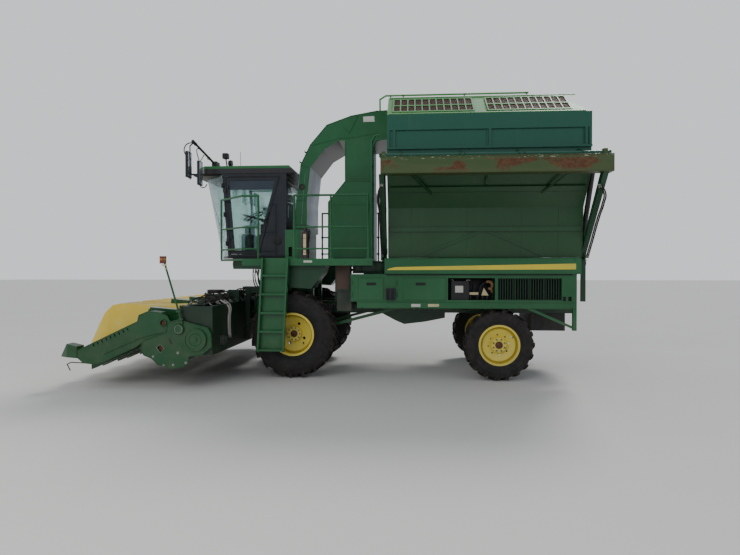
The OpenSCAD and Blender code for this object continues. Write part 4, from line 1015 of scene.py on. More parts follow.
def make_rung_treads():
    """Raised grip buttons on the ladder's rungs and on the deck."""
    treads = []
    for x, z in rungs():
        for k in range(9):
            for j in range(2):
                at = (x + 0.045 + 0.045 * k, -1.53 + 0.032 * j)
                treads.append(drum((*at, z + 0.029), (*at, z + 0.036), 0.009, 10, 0.0, 0.006))
    piece("rung_grips", treads, green)
    buttons = []
    for s in SIDES:
        for i in range(22):
            for j in range(8):
                at = (0.02 + 0.06 * i + 0.03 * (j % 2), s * (0.93 + 0.065 * j))
                buttons.append(drum((*at, 1.9695), (*at, 1.9745), 0.011, 8, 0.0, 0.007))
    piece("deck_grips", buttons, green)


make_rung_treads()


# Header

HEADER_HALF = 2.286
ROW_PITCH = 0.762
ROWS_Y = [(i - 2.5) * ROW_PITCH for i in range(6)]
HOODS_Y = [(i - 2) * ROW_PITCH for i in range(5)]
TOOLBAR_TOP = 1.262
DISC_X, DISC_Z = -1.204, 0.763
END_PLATE_Y = HEADER_HALF + 0.030
ARM_OUTLINE = [(-3.053, 0.572), (-2.102, 1.020), (-2.078, 1.114), (-1.931, 1.174), (-1.760, 1.152),
               (-1.651, 1.105), (-1.600, 1.020), (-1.640, 0.880), (-2.004, 0.736), (-2.127, 0.641),
               (-2.644, 0.409), (-2.768, 0.377), (-2.941, 0.394), (-3.053, 0.488)]
COVER_OUTLINE = [(-2.007, 0.739), (-2.043, 0.620), (-1.995, 0.527), (-1.873, 0.481), (-1.775, 0.388),
                 (-1.581, 0.331), (-1.412, 0.357), (-1.316, 0.417), (-1.316, 0.511), (-1.123, 0.536),
                 (-0.968, 0.655), (-0.979, 0.842), (-1.027, 0.935), (-1.292, 1.003), (-1.461, 1.049),
                 (-1.620, 1.010), (-1.660, 0.860)]


def make_end_details(name, s):
    """Edges, bolts, rings and the rusted parts behind the openings of a header end; a pale ring on the
    small disc is a painted highlight, and black sheets behind the slot and louvres are painted shade.
    """
    plate_y, arm_y, cover_y = s * END_PLATE_Y, s * (END_PLATE_Y + 0.020), s * (END_PLATE_Y + 0.045)
    disc_y = cover_y + s * 0.032
    edges = [rim_bead(ARM_OUTLINE, arm_y), rim_bead(COVER_OUTLINE, cover_y, 0.008),
             torus((DISC_X, disc_y, DISC_Z), 0.156, 0.006, segments=64),
             torus((DISC_X, disc_y, DISC_Z), 0.090, 0.004),
             torus((-1.457, cover_y + s * 0.030, 0.915), 0.070, 0.005),
             torus((-1.706, plate_y + s * 0.034, 1.002), 0.048, 0.007),
             tube([(-2.62, arm_y, 0.53), (-2.2, arm_y, 0.715), (-1.98, arm_y, 0.80),
                   (-1.72, arm_y, 0.86)], 0.009)]
    piece(f"{name}_edges", edges, header_green, "header")
    # The zinc ring inside the small disc's edge is a painted highlight.
    pale = [torus((-1.457, cover_y + s * 0.031, 0.915), 0.056, 0.004)]
    pale += bolt_heads([(-1.852, cover_y, 0.505), (-1.693, cover_y, 0.376), (-1.547, cover_y, 0.387),
                        (-1.355, cover_y, 0.42), (-1.476, cover_y, 0.565)], (0.0, s, 0.0), 0.012, 0.010)
    stub = [(DISC_X, cover_y + s * out, DISC_Z) for out in (0.03, 0.036)]
    pale.append(drum(*stub, 0.020, 20, 0.002))
    pale.append(rim_bead([(-1.803, 0.645), (-1.742, 0.686), (-1.681, 0.628), (-1.742, 0.560)],
                         plate_y + s * 0.045, 0.005))
    piece(f"{name}_bolts", pale, zinc, "header")
    hidden = [sheet_ring([(-1.80, 0.645), (-1.742, 0.682), (-1.684, 0.63), (-1.742, 0.563)],
                         plate_y + s * 0.0005, plate_y + s * 0.004, 0.0),
              drum((-1.706, plate_y + s * 0.0005, 1.002), (-1.706, plate_y + s * 0.006, 1.002), 0.0395,
                   32, 0.001)]
    piece(f"{name}_rusted_parts", hidden, rust_metal, "header")
    # Black sheets behind the cover's slot and the louvres are painted shade seen through the openings.
    cover_slot = [(-1.615, 0.775), (-1.59, 0.78), (-1.575, 0.735), (-1.555, 0.70), (-1.575, 0.69),
                  (-1.605, 0.72)]
    louvres = [(-2.86, 0.655), (-2.18, 0.975), (-2.15, 0.88), (-2.83, 0.57)]
    dark = [sheet_ring(cover_slot, cover_y, cover_y + s * 0.0015, 0.0),
            sheet_ring(louvres, s * 2.300, s * 2.3035, 0.0)]
    piece(f"{name}_slot_painted_shade", dark, black, "header")


for side_name, outward in SIDE_NAMES.items():
    make_end_details(f"{side_name}_end", outward)


def make_pole_reflectors():
    """Banded reflectors on both faces of each marker paddle, a clip and the pole's foot clamps."""
    for name, s in SIDE_NAMES.items():
        y = s * 2.3753
        for colour, lens, bands in (("red", lens_red, ((1.884, 1.925), (1.958, 1.985))),
                                    ("amber", lens_amber, ((1.927, 1.956),))):
            faces = [block((-1.735, y + face * 0.007, low), (-1.643, y + face * 0.011, high), 0.002)
                     for face in SIDES for low, high in bands]
            piece(f"pole_{name}_reflectors_{colour}", faces, lens, "header")
        clip = [block((-1.70, y - 0.020, 1.845), (-1.64, y + 0.020, 1.868), 0.004),
                block((-1.66, y - 0.018, 1.79), (-1.63, y + 0.018, 1.812), 0.004)]
        piece(f"pole_{name}_clips", clip, cream, "header")
        clamp = [block((-1.455, y - 0.019, 1.05), (-1.385, y + 0.019, 1.075), 0.004),
                 block((-1.49, y - 0.019, 1.16), (-1.42, y + 0.019, 1.185), 0.004)]
        piece(f"pole_{name}_clamps", clamp, header_green, "header")


make_pole_reflectors()


def make_row_drives():
    """On each row: a cover with a pale strip on top that is a painted sun highlight, the gearbox with its
    bolts, the shaft and its grease line.
    """
    covers, sun_highlights, boxes, shafts, lines, heads = [], [], [], [], [], []
    for y in ROWS_Y:
        up = 0.0 if abs(y) > 1.8 else 0.09
        covers.append(sheet_ring([(-2.10, 1.17), (-2.08, 1.210 + up), (-1.66, 1.172 + up), (-1.64, 1.12),
                                  (-1.78, 1.10)], y - 0.07, y + 0.07, 0.004))
        # A pale strip on each cover's top is a painted sun highlight on the green sheet.
        sun_highlights.append(sheet_ring([(-2.084, 1.211 + up), (-2.082, 1.219 + up), (-1.66, 1.181 + up),
                                (-1.66, 1.173 + up)], y - 0.078, y + 0.078, 0.001))
        boxes += [block((-1.62, y - 0.07, 1.113), (-1.49, y + 0.07, 1.235), 0.012, 3),
                  block((-1.60, y - 0.085, 1.135), (-1.51, y + 0.085, 1.200), 0.008),
                  drum((-1.49, y, 1.165), (-1.462, y, 1.165), 0.045, 32, 0.004)]
        heads += bolt_heads([(x, y + dy, 1.235) for x in (-1.61, -1.50) for dy in both(0.055)], UP, 0.008,
                            0.008)
        shafts += [drum((-1.46, y, 1.165), (-1.445, y, 1.165), 0.028, 20, 0.002),
                   drum((-1.62, y, 1.165), (-1.66, y, 1.165), 0.018, 16, 0.002)]
        lines.append(tube([(-1.53, y + 0.06, 1.22), (-1.52, y + 0.08, 1.30), (-1.46, y + 0.085, 1.315),
                           (-1.41, y + 0.09, 1.272)], 0.008))
    piece("row_covers", covers, header_green, "header")
    piece("row_cover_painted_highlights", sun_highlights, painted_sun_highlight, "header")
    piece("row_gearboxes", boxes, cast, "header")
    piece("row_gearbox_bolts", heads, zinc, "header")
    piece("row_drive_shafts", shafts, worn_steel, "header")
    piece("row_grease_lines", lines, hose_rubber, "header")


make_row_drives()


def make_toolbar_fittings():
    """Clamps, valve block, motors and hoses on the header's toolbar and its trough."""
    clamps, heads = [], []
    for row in ROWS_Y:
        for y in (row - 0.17, row + 0.17):
            clamps.append(block((-1.447, y - 0.03, 1.12), (-1.331, y + 0.03, TOOLBAR_TOP), 0.006))
            heads += bolt_heads([(-1.42, y, TOOLBAR_TOP), (-1.36, y, TOOLBAR_TOP)], UP, 0.010, 0.014)
    piece("toolbar_clamps", clamps, header_green, "header")
    valves = [block((-1.325, -0.50, 1.255), (-1.14, -0.20, 1.36), 0.006)]
    valves += [block((-1.31 + 0.045 * i, -0.47, 1.355), (-1.28 + 0.045 * i, -0.23, 1.42), 0.004)
               for i in range(4)]
    for y in both(2.12):
        valves += [drum((-1.20, y, TOOLBAR_TOP), (-1.20, y, 1.33), 0.06, 36, 0.006),
                   block((-1.26, y - 0.06, 1.251), (-1.13, y + 0.06, 1.275), 0.006)]
    heads += bolt_heads([(x, y + dy, 1.275) for x in (-1.26, -1.14) for y in both(2.12)
                         for dy in both(0.045)], UP, 0.008, 0.008)
    piece("toolbar_bolts", heads, zinc, "header")
    routes = []
    for k, y1 in enumerate(ROWS_Y):
        y0 = -0.46 + 0.045 * k
        routes.append([(-1.16, y0, 1.30), (-1.10, y0 - 0.02, 1.33 + 0.006 * k),
                       (-1.12, 0.5 * (y0 + y1), 1.33), (-1.20, y1 + 0.03, 1.30),
                       (-1.34, y1 + 0.04, 1.285), (-1.44, y1 + 0.05, 1.24)])
    make_hose("header_row_hoses", routes, 0.011, "header")
    routes = []
    for i in range(15):
        y, lift = -2.15 + 0.29 * i, 0.022 * (i * 5 % 4)
        routes.append([(-1.39, y, TOOLBAR_TOP), (-1.32, y + 0.05, 1.35 + lift),
                       (-1.17, y + 0.15, 1.36 + lift), (-1.04, y + 0.22, 1.31),
                       (-1.00, y + 0.25, TOOLBAR_TOP)])
        routes.append([(-1.29, y + 0.10, 1.255), (-1.24, y + 0.11, 1.32), (-1.12, y + 0.02, 1.33 + lift),
                       (-1.03, y - 0.04, 1.255)])
    make_hose("header_jumper_hoses", routes, 0.010, "header")
    for y in HOODS_Y:
        valves += [block((-1.30, y - 0.06, 1.255), (-1.20, y + 0.06, 1.325), 0.008),
                   drum((-1.25, y, 1.32), (-1.25, y, 1.375), 0.025, 20, 0.004)]
    piece("header_valve_block", valves, cast, "header")
    loops = [[(-1.01, -1.5, TOOLBAR_TOP), (-1.07, -1.52, 1.30), (-0.955, -1.56, 1.22),
              (-0.950, -1.58, 1.03), (-0.951, -1.58, 0.88), (-0.950, -1.56, 0.74), (-0.96, -1.52, 0.70)],
             [(-1.02, -1.62, TOOLBAR_TOP), (-1.08, -1.64, 1.31), (-0.945, -1.66, 1.20),
              (-0.942, -1.68, 1.04), (-0.943, -1.68, 0.9), (-0.942, -1.66, 0.76), (-0.955, -1.62, 0.72)]]
    make_hose("header_pale_hoses", loops, 0.013, "header", pale_hose)
    motor = [drum((-0.968, -1.95, 0.715), (-0.90, -1.95, 0.715), 0.075, 40, 0.008),
             drum((-0.90, -1.95, 0.715), (-0.868, -1.95, 0.715), 0.055, 36, 0.006),
             block((-0.968, -2.03, 0.64), (-0.945, -1.87, 0.79), 0.008)]
    piece("header_end_motor", motor, cast, "header")


make_toolbar_fittings()


def make_hood_details():
    """Rear latches of each yellow hood, and a seam along its crown."""
    seams, latches = [], []
    for y in HOODS_Y:
        seams.append(tube([(-2.64, y, 1.259), (-2.3, y, 1.244), (-1.957, y, 1.227), (-1.46, y, 1.246)],
                          0.004, 8))
        for dy in both(0.20):
            latches.append(block((-1.56, y + dy - 0.02, 1.238), (-1.47, y + dy + 0.02, 1.254), 0.004))
    piece("hood_crown_seams", seams, hood_yellow, "header")
    piece("hood_rear_latches", latches, black, "header")


make_hood_details()


def make_link_cylinders():
    """The upper links' rams along the hoods: a dark barrel and a bright rod, on each side."""
    barrels, rods = [], []
    for y in both(1.0):
        barrels += [drum((-1.50, y, 1.425), (-1.24, y, 1.425), 0.030, 28, 0.004),
                    block((-1.53, y - 0.030, 1.381), (-1.49, y + 0.030, 1.45), 0.005)]
        rods += [drum((-1.24, y, 1.425), (-1.165, y, 1.425), 0.014, 20, 0.002),
                 drum((-1.252, y, 1.425), (-1.238, y, 1.425), 0.031, 28, 0.002)]
    piece("upper_link_barrels", barrels, black_paint, "header")
    piece("upper_link_rods", rods, steel, "header")


make_link_cylinders()


def make_lift_hoses():
    """The lift arms' valve blocks, with hoses from the cab floor and on to the frame."""
    valve = [block((-0.78, -0.50, 1.19), (-0.52, -0.20, 1.30), 0.008)]
    valve += [drum((-0.75 + 0.06 * i, -0.35, 1.30), (-0.75 + 0.06 * i, -0.35, 1.36), 0.018, 16, 0.003)
              for i in range(4)]
    valve += [block((-0.80, -0.18, 1.26), (-0.58, 0.16, 1.33), 0.008)]
    piece("lift_valve_blocks", valve, cast)
    routes = []
    for k in range(7):
        x, y = -0.86 + 0.035 * k, -0.56 + 0.03 * (k % 3)
        routes.append([(x, y, 1.80), (x - 0.01 * (k % 2), y - 0.01, 1.66), (x + 0.03, y + 0.02, 1.5),
                       (-0.75 + 0.06 * (k % 4), -0.36, 1.37)])
    make_hose("cab_floor_hoses", routes, 0.010)
    lines = []
    for k in range(5):
        z = 1.20 + 0.025 * k
        lines.append([(-0.52, -0.26 - 0.04 * k, z), (-0.42, -0.30 - 0.03 * k, z + 0.02),
                      (-0.3, -0.33, z + 0.05), (-0.20, -0.36, 1.26 + 0.012 * k)])
    make_hose("lift_valve_hoses", lines, 0.009)


make_lift_hoses()


# Cab

CAB_SIDE = 0.831


def front_post(z):
    """X of the side frame's front post at a height."""
    return -1.225 - 0.106 * (z - 1.99) / 1.47


def make_mirrors():
    """Mirror glass, housings' backs, the thin loops that carry them and the arm's clamps, on both sides."""
    loops = (([(-1.69, 1.18, 3.925), (-1.80, 1.20, 3.90), (-1.845, 1.22, 3.80), (-1.80, 1.235, 3.68),
               (-1.783, 1.235, 3.6)], 0.009),
             ([(-1.62, 0.98, 3.84), (-1.66, 1.10, 3.84), (-1.63, 1.2, 3.74), (-1.588, 1.22, 3.62)],
              0.008),
             ([(-1.57, 1.23, 3.21), (-1.55, 1.22, 3.17), (-1.49, 1.2, 3.18), (-1.47, 1.18, 3.23)], 0.008))
    for name, s in SIDE_NAMES.items():
        faces = [block((-1.745, s * 1.155, 3.345), (-1.741, s * 1.305, 3.745), 0.001),
                 block((-1.555, s * 1.165, 3.215), (-1.551, s * 1.295, 3.585), 0.001)]
        piece(f"mirror_{name}_glass", faces, mirror_glass)
        bars = [tube([on_side(s, point) for point in route], radius) for route, radius in loops]
        bars += [drum((-1.672, s * 1.135, 3.90), (-1.705, s * 1.215, 3.95), 0.028, 24, 0.004),
                 drum((-1.50, s * 0.70, 3.62), (-1.50, s * 0.70, 3.675), 0.030, 24, 0.004),
                 torus((-1.56, s * 0.85, 3.73), 0.024, 0.006, "Y", 24)]
        piece(f"mirror_{name}_loops", bars, black)
        backs = [block((-1.800, s * 1.17, 3.39), (-1.784, s * 1.29, 3.70), 0.008, 3),
                 block((-1.600, s * 1.18, 3.25), (-1.589, s * 1.28, 3.55), 0.005, 3)]
        piece(f"mirror_{name}_backs", backs, black)


make_mirrors()


def make_roof_details():
    """Black strips of painted shade under the roof's lip, ribs, the round lamp's cage and the aerial's
    foot.
    """
    # These black strips are painted shade: the shadow under the roof's overhang.
    band = [block((-1.90, -0.80, 3.445), (-0.06, -0.79, 3.475), 0.004),
            block((-1.90, 0.79, 3.445), (-0.06, 0.80, 3.475), 0.004),
            block((-1.86, -0.79, 3.43), (-1.36, 0.79, 3.462), 0.006)]
    piece("roof_painted_shade_band", band, black)
    ribs = [block((-1.70, y - 0.03, 3.588), (-0.20, y + 0.03, 3.598), 0.004, 3)
            for y in (-0.6, -0.36, 0.36, 0.6)]
    ribs.append(block((-1.1, -0.22, 3.588), (-0.35, 0.22, 3.612), 0.014, 3))
    piece("roof_ribs", ribs, roof_green_with_painted_shade)
    beacon = [block((-1.60, -0.055, 3.885), (-1.49, 0.055, 3.99), 0.014, 3),
              tube([(-1.50, 0.0, 3.62), (-1.52, 0.0, 3.74), (-1.545, 0.0, 3.90)], 0.012),
              drum((-1.45, 0.0, 3.705), (-1.45, 0.0, 3.725), 0.065, 32, 0.004),
              torus((-1.45, 0.0, 3.8), 0.060, 0.006, "X", 32),
              drum((-1.20, -0.2, 3.59), (-1.20, -0.2, 3.615), 0.022, 24, 0.004, 0.012)]
    piece("roof_lamp_cage", beacon, black)


make_roof_details()


def make_cab_interior():
    """Steering wheel and column, monitor, console with its lever, pedals and roof lining."""
    hub_x = -1.005
    wheel = [torus((hub_x, 0.0, 2.80), 0.195, 0.014, "Z", 56)]
    for i in range(3):
        a = math.radians(90 + 120 * i)
        wheel.append(tube([(hub_x, 0.0, 2.775), (hub_x + 0.1 * math.cos(a), 0.1 * math.sin(a), 2.783),
                           (hub_x + 0.19 * math.cos(a), 0.19 * math.sin(a), 2.80)], 0.010))
    wheel.append(drum((hub_x, 0.0, 2.76), (hub_x, 0.0, 2.80), 0.045, 32, 0.006))
    for part in wheel:
        part.data.transform(turned(math.radians(-24), "Y", (hub_x, 0.0, 2.79)))
    piece("steering_wheel_rim", wheel, black)
    fittings = [block((-1.20, -0.20, 1.995), (-0.98, 0.20, 2.46), 0.05, 4),
                block((-1.15, -0.13, 2.42), (-1.03, 0.13, 2.62), 0.03, 3),
                block((-1.13, 0.40, 3.04), (-1.09, 0.64, 3.30), 0.012, 3),
                block((-1.12, 0.50, 2.60), (-1.10, 0.54, 3.05), 0.004),
                block((-0.97, 0.30, 2.0), (-0.42, 0.54, 2.68), 0.03, 3),
                block((-1.0, 0.62, 2.92), (-0.30, 0.70, 3.04), 0.012, 3),
                block((-0.62, -0.55, 3.30), (-0.25, 0.55, 3.43), 0.02, 3),
                drum((-0.82, 0.42, 2.66), (-0.90, 0.42, 2.84), 0.012, 16, 0.002),
                block((-0.935, 0.385, 2.82), (-0.875, 0.455, 2.92), 0.022, 3)]
    fittings += [block((-0.80 + 0.07 * i, 0.34, 2.68), (-0.77 + 0.07 * i, 0.37, 2.70), 0.004)
                 for i in range(5)]
    piece("cab_console_fittings", fittings, black)
    piece("monitor_face", [block((-1.134, 0.42, 3.06), (-1.130, 0.62, 3.28), 0.001)], slate)
    pedals = [block((-1.24, y, 2.02), (-1.21, y + 0.07, 2.14), 0.01) for y in (-0.30, 0.22, 0.31)]
    piece("foot_pedals", pedals, hose_rubber)
    lining = [block((-1.27, -0.76, 3.36), (-0.22, 0.76, 3.44), 0.02, 3)]
    piece("cab_roof_lining", lining, slate)
    top_of_door = [(-1.278, 3.402), (-0.312, 3.402), (-0.372, 3.18), (-1.264, 3.18)]
    piece("cab_door_dark_band", [sheet_ring(top_of_door, -0.8185, -0.8145, 0.0)], slate, "cab_door")


make_cab_interior()


def make_cab_door_trim():
    """The cab door's hinges and its seal, and the strip along the sill under it."""
    hinge = []
    for z in (2.25, 2.75, 3.25):
        x = front_post(z) + 0.012
        hinge += [drum((x, -0.842, z - 0.05), (x - 0.007, -0.842, z + 0.05), 0.012, 20, 0.002),
                  block((x - 0.04, -0.838, z - 0.04), (x, -0.829, z + 0.04), 0.003)]
    piece("cab_door_hinges", hinge, black)
    seal = bead([(-1.262, -CAB_SIDE, 3.39), (-0.335, -CAB_SIDE, 3.39), (-0.675, -CAB_SIDE, 2.08),
                 (-1.168, -CAB_SIDE, 2.08), (-1.262, -CAB_SIDE, 3.39)], 0.006)
    piece("cab_door_seal", [seal], black, "cab_door")
    sill = block((-1.17, -0.838, 2.0), (-0.22, -CAB_SIDE, 2.045), 0.003)
    piece("cab_sill_strip", [sill], black)


make_cab_door_trim()


# Duct and cleaner housing

DUCT_BACK = [(-0.134, 2.583), (0.009, 3.642), (0.180, 3.990), (0.472, 4.330), (0.900, 4.480),
             (1.371, 4.560)]


def make_duct_details():
    """Flanged joints, seams, blank plates, the round plugs and the hatch latches of the air duct."""
    flanges = []
    for s in SIDES:
        y = s * 0.603
        for (x0, z0), (x1, z1) in (((-0.075, 3.02), (0.116, 3.02)), ((0.009, 3.642), (0.177, 3.586)),
                                   ((0.868, 4.183), (0.740, 4.313)), ((0.868, 4.183), (1.018, 4.477))):
            flanges.append(bead([(x0, y, z0), (x1, y, z1)], 0.007))
        flanges.append(bead([(x, s * 0.600, z) for x, z in DUCT_BACK], 0.008))
        flanges.append(tube([(0.02, y, 2.60), (0.05, y, 3.1), (0.085, y, 3.5)], 0.004, 8))
        flanges.append(bead([(0.202, y, 3.981), (0.675, y, 4.09), (0.868, y, 4.10), (1.379, y, 4.173)],
                            0.006))
    for x, z in DUCT_BACK[1:5]:
        flanges.append(bead([(x, -0.6, z), (x, 0.6, z)], 0.010))
    piece("duct_flanges", flanges, duct_green)
    plugs = pair(drum, (0.03, 0.6, 3.25), (0.03, 0.612, 3.25), 0.042, 32, 0.004)
    plugs += [torus((0.03, y, 3.25), 0.05, 0.006) for y in both(0.606)]
    piece("duct_round_plugs", plugs, cast)
    plate = [(1.110, 4.462), (1.305, 4.470), (1.310, 4.372), (1.115, 4.372)]
    piece("duct_blank_plates", [sheet_ring(plate, s * 0.600, s * 0.604, 0.0) for s in SIDES],
          white_enamel)
    latches = []
    for x, z in ((0.10, 3.86), (0.01, 3.68), (-0.045, 3.2), (-0.10, 2.8)):
        for s in SIDES:
            latches += [block((x - 0.022, s * 0.58, z - 0.012), (x + 0.008, s * 0.61, z + 0.012), 0.004),
                        drum((x - 0.030, s * 0.595, z + 0.010), (x - 0.012, s * 0.595, z + 0.032), 0.005,
                             12, 0.001)]
    piece("duct_hatch_latches", latches, black)


make_duct_details()


def make_housing_details():
    """Cleaner housing: folded corner edges, a mid seam, the latch slot and a dark strip along its foot, on
    both sides.
    """
    trims, dark = [], []
    for s in SIDES:
        y = s * 0.85
        trims += [bead([(0.535, y, 1.985), (0.535, y, 2.95), (0.825, y, 3.30), (1.258, y, 3.30),
                        (1.258, y, 1.985)], 0.008), bead([(0.545, y, 2.90), (1.25, y, 2.90)], 0.004),
                  bead([(0.80, s * 0.60, 3.32), (0.80, s * 0.60, 4.03)], 0.008)]
        dark += [block((1.205, y, 2.78), (1.235, y + s * 0.012, 2.96), 0.004),
                 block((0.56, y, 1.975), (1.24, y + s * 0.012, 2.0), 0.004)]
    piece("housing_trims", trims, green)
    piece("housing_latches", dark, black)


make_housing_details()


# Basket

def lower_wall(z):
    """How far out the basket's side wall stands at a height: steep up to its knee, then wide."""
    knee_y, knee_z = 1.210, 2.792
    if z < knee_z:
        return 1.150 + 0.060 * (z - 1.990) / 0.802
    return knee_y + 0.390 * (z - knee_z) / 0.508


PIVOT_PIPE = (-2.0, 3.49)
POSTS_X = (1.504, 4.750)


def make_basket_details():
    """Faint seams, folded edges and the mid gussets of the basket's walls."""
    seams = []
    for s in SIDES:
        for x in (1.95, 2.85, 3.72, 4.3):
            seams.append(bead([(x, s * (lower_wall(z) + 0.0005), z) for z in (2.0, 2.4, 2.79)], 0.003))
        for x in (1.577, 4.677):
            seams.append(bead([(x, s * (lower_wall(z) + 0.002), z) for z in (2.0, 2.79, 3.30)], 0.007))
        y = s * 1.603
        seams.append(bead([(1.58, y, 4.195), (4.67, y, 4.195)], 0.008))
        for x0, x1 in ((1.70, 3.10), (3.17, 4.56)):
            seams.append(rim_bead([(x0, 3.70), (x1, 3.70), (x1, 3.95), (x0, 3.95)], y, 0.005))
        seams.append(block((3.095, s * 1.44, 3.12), (3.125, s * 1.58, 3.285), 0.006))
    for y in (-1.0, -0.5, 0.0, 0.5, 1.0):
        seams.append(bead([(4.685, y, 2.1), (4.685, y, 4.1)], 0.008))
    piece("basket_seams", seams, basket_green_with_painted_light, "basket")


make_basket_details()


def make_beam_details():
    """Collars on the pivot pipe, edge beads on the long beam, and the posts' bolted feet and hoses."""
    collars, heads, feet = [], [], []
    for x in (1.49, 1.80, 2.66, 2.74, 3.52, 3.60, 4.43, 4.815):
        collars.append(drum((x - 0.012, *PIVOT_PIPE), (x + 0.012, *PIVOT_PIPE), 0.036, 32, 0.003))
    for x, end in ((1.477, 1.469), (4.827, 4.835)):
        collars.append(drum((x, *PIVOT_PIPE), (end, *PIVOT_PIPE), 0.022, 24, 0.002))
    piece("pivot_pipe_collars", collars, dark_green)
    beads = [bead([(1.50, -2.103, z), (4.84, -2.103, z)], 0.006) for z in (3.212, 3.452)]
    piece("beam_pads", beads, beam_paint)
    for x in POSTS_X:
        for y in both(0.98):
            heads += bolt_heads([(x + dx, y + dy, 1.951) for dx in both(0.025) for dy in both(0.04)],
                                UP, 0.008, 0.008)
        feet.append(block((x - 0.045, -1.06, 1.94), (x + 0.045, -0.90, 1.956), 0.003))
    piece("beam_bolts", heads, zinc)
    piece("post_feet", feet, dark_green)
    rear = [(4.677, -1.90, 3.042), (4.753, -1.93, 2.927), (4.775, -1.80, 2.761), (4.77, -1.66, 2.619),
            (4.765, -1.52, 2.457), (4.762, -1.36, 2.261), (4.757, -1.12, 1.983)]
    front = [(1.53, -1.93, 3.10), (1.47, -1.90, 2.95), (1.478, -1.62, 2.619), (1.478, -1.36, 2.30),
             (1.482, -1.10, 2.0)]
    routes = [[(x + dx * k, y + dy * k, z) for x, y, z in route]
              for route, dx, dy in ((rear, 0.022, -0.012), (front, -0.02, -0.01)) for k in (0, 1)]
    make_hose("post_hoses", routes, 0.011)


make_beam_details()


def make_cylinder_details():
    """Gland rings and ports on the basket's two lift cylinders."""
    foot_y, foot_z = -0.85, 2.10
    way = (Vector((0.0, -1.552, 3.529)) - Vector((0.0, foot_y, foot_z))).normalized()
    for name, x in zip(("front", "rear"), POSTS_X):
        base = Vector((x, foot_y, foot_z))
        rings = [drum(base + way * d, base + way * (d + 0.018), 0.044, 32, 0.003)
                 for d in (0.16, 0.20, 0.72, 0.76)]
        for d in (0.24, 0.70):
            rings += fitting(base + way * d, (0.0, -0.85, -0.5), 0.012)
        piece(f"lift_cylinder_{name}_rings", rings, black_paint, "basket_barrels")


make_cylinder_details()


def make_lid_details():
    """Ribs across the lid's flat top and along its left slope, and the clamps of the rail on top."""
    ribs = [block((x - 0.02, -0.97, 4.648), (x + 0.02, 0.97, 4.664), 0.005)
            for x in (1.64, 2.3, 2.97, 3.63, 4.24)]
    ribs += [slope_bar(1.60, 4.60, 0.01, 0.04, 0.001, 0.014),
             slope_bar(1.60, 4.60, 0.70, 0.74, 0.001, 0.014)]
    piece("lid_ribs", ribs, lid_green, "basket_lid")
    clamps = [drum((x - 0.02, -0.9, 4.722), (x + 0.02, -0.9, 4.722), 0.0154, 20, 0.0)
              for x in (1.60, 1.814, 2.831, 3.849)]
    piece("lid_rail_clamps", clamps, worn_steel, "basket_lid")


make_lid_details()


# Sides and engine

def make_door_fittings():
    """Hinges and paddle latches of the two service doors, with a bead round each door."""
    y = -1.262
    for body, x0, x1, latch in (("service_door_front", 0.978, 1.503, 1.30),
                                ("service_door_rear", 1.707, 2.506, 2.10)):
        hinges = pin_hinge(x0 + 0.012, y, 1.38, -1) + pin_hinge(x0 + 0.012, y, 1.58, -1)
        piece(f"{body}_hinges", hinges, green, body)
        piece(f"{body}_latch", paddle_latch(latch, y, 1.56, -1), black, body)
        outline = [(x0 + 0.11, 1.30), (x1 - 0.012, 1.30), (x1 - 0.012, 1.656), (x0 + 0.11, 1.656)]
        piece(f"{body}_bead", [rim_bead(outline, y, 0.005)], green, body)


make_door_fittings()


def make_side_details():
    """Bolt rows, bead lines, blank plates and boxes along both side walls and sills."""
    heads, beads = [], []
    for s in SIDES:
        for x0, x1, y, z, n, radius, depth in ((1.62, 4.53, 1.30, 1.95, 9, 0.010, 0.009),
                                               (1.02, 4.46, 1.25, 1.695, 12, 0.008, 0.007),
                                               (1.15, 4.50, 1.25, 1.18, 9, 0.011, 0.010)):
            heads += bolt_heads(along((x0, s * y, z), (x1, s * y, z), n), (0.0, s, 0.0), radius, depth)
        for x0, x1, y, z, radius in ((1.53, 4.62, 1.302, 1.972, 0.006), (1.53, 4.62, 1.302, 1.728, 0.006),
                                     (1.08, 4.56, 1.252, 1.262, 0.005),
                                     (1.08, 4.56, 1.252, 1.167, 0.005)):
            beads.append(bead([(x0, s * y, z), (x1, s * y, z)], radius))
    piece("side_wall_bolts", heads, green)
    shade = pair(block, (1.53, 1.249, 1.699), (4.51, 1.256, 1.719), 0.002)
    shade += pair(block, (4.335, 1.205, 1.275), (4.51, 1.212, 1.375), 0.002)
    shade.append(block((2.545, -0.909, 1.298), (3.288, -0.901, 1.65), 0.002))
    piece("side_shadow_strips", shade, black)
    piece("oil_tank_face", [block((0.71, -1.157, 1.47), (0.93, -1.149, 1.90), 0.006)], tank_brown)
    piece("side_wall_beads", beads, green)
    white = [block((1.95, -1.255, 1.185), (2.10, -1.249, 1.235), 0.002),
             block((0.22, -1.456, 1.905), (0.36, -1.449, 1.94), 0.002)]
    piece("blank_plates_white", white, white_enamel)
    plate = block((2.22, -1.255, 1.19), (2.40, -1.249, 1.235), 0.002)
    piece("blank_plates_cream", [plate], cream)
    sockets = []
    for x in (1.575, 1.649):
        for z in (1.325, 1.37, 1.415, 1.46):
            sockets += [torus((x, -1.322, z), 0.019, 0.005, "Y", 24),
                        drum((x, -1.319, z), (x, -1.334, z), 0.013, 20, 0.003)]
    piece("relay_box_sockets", sockets, black)


make_side_details()


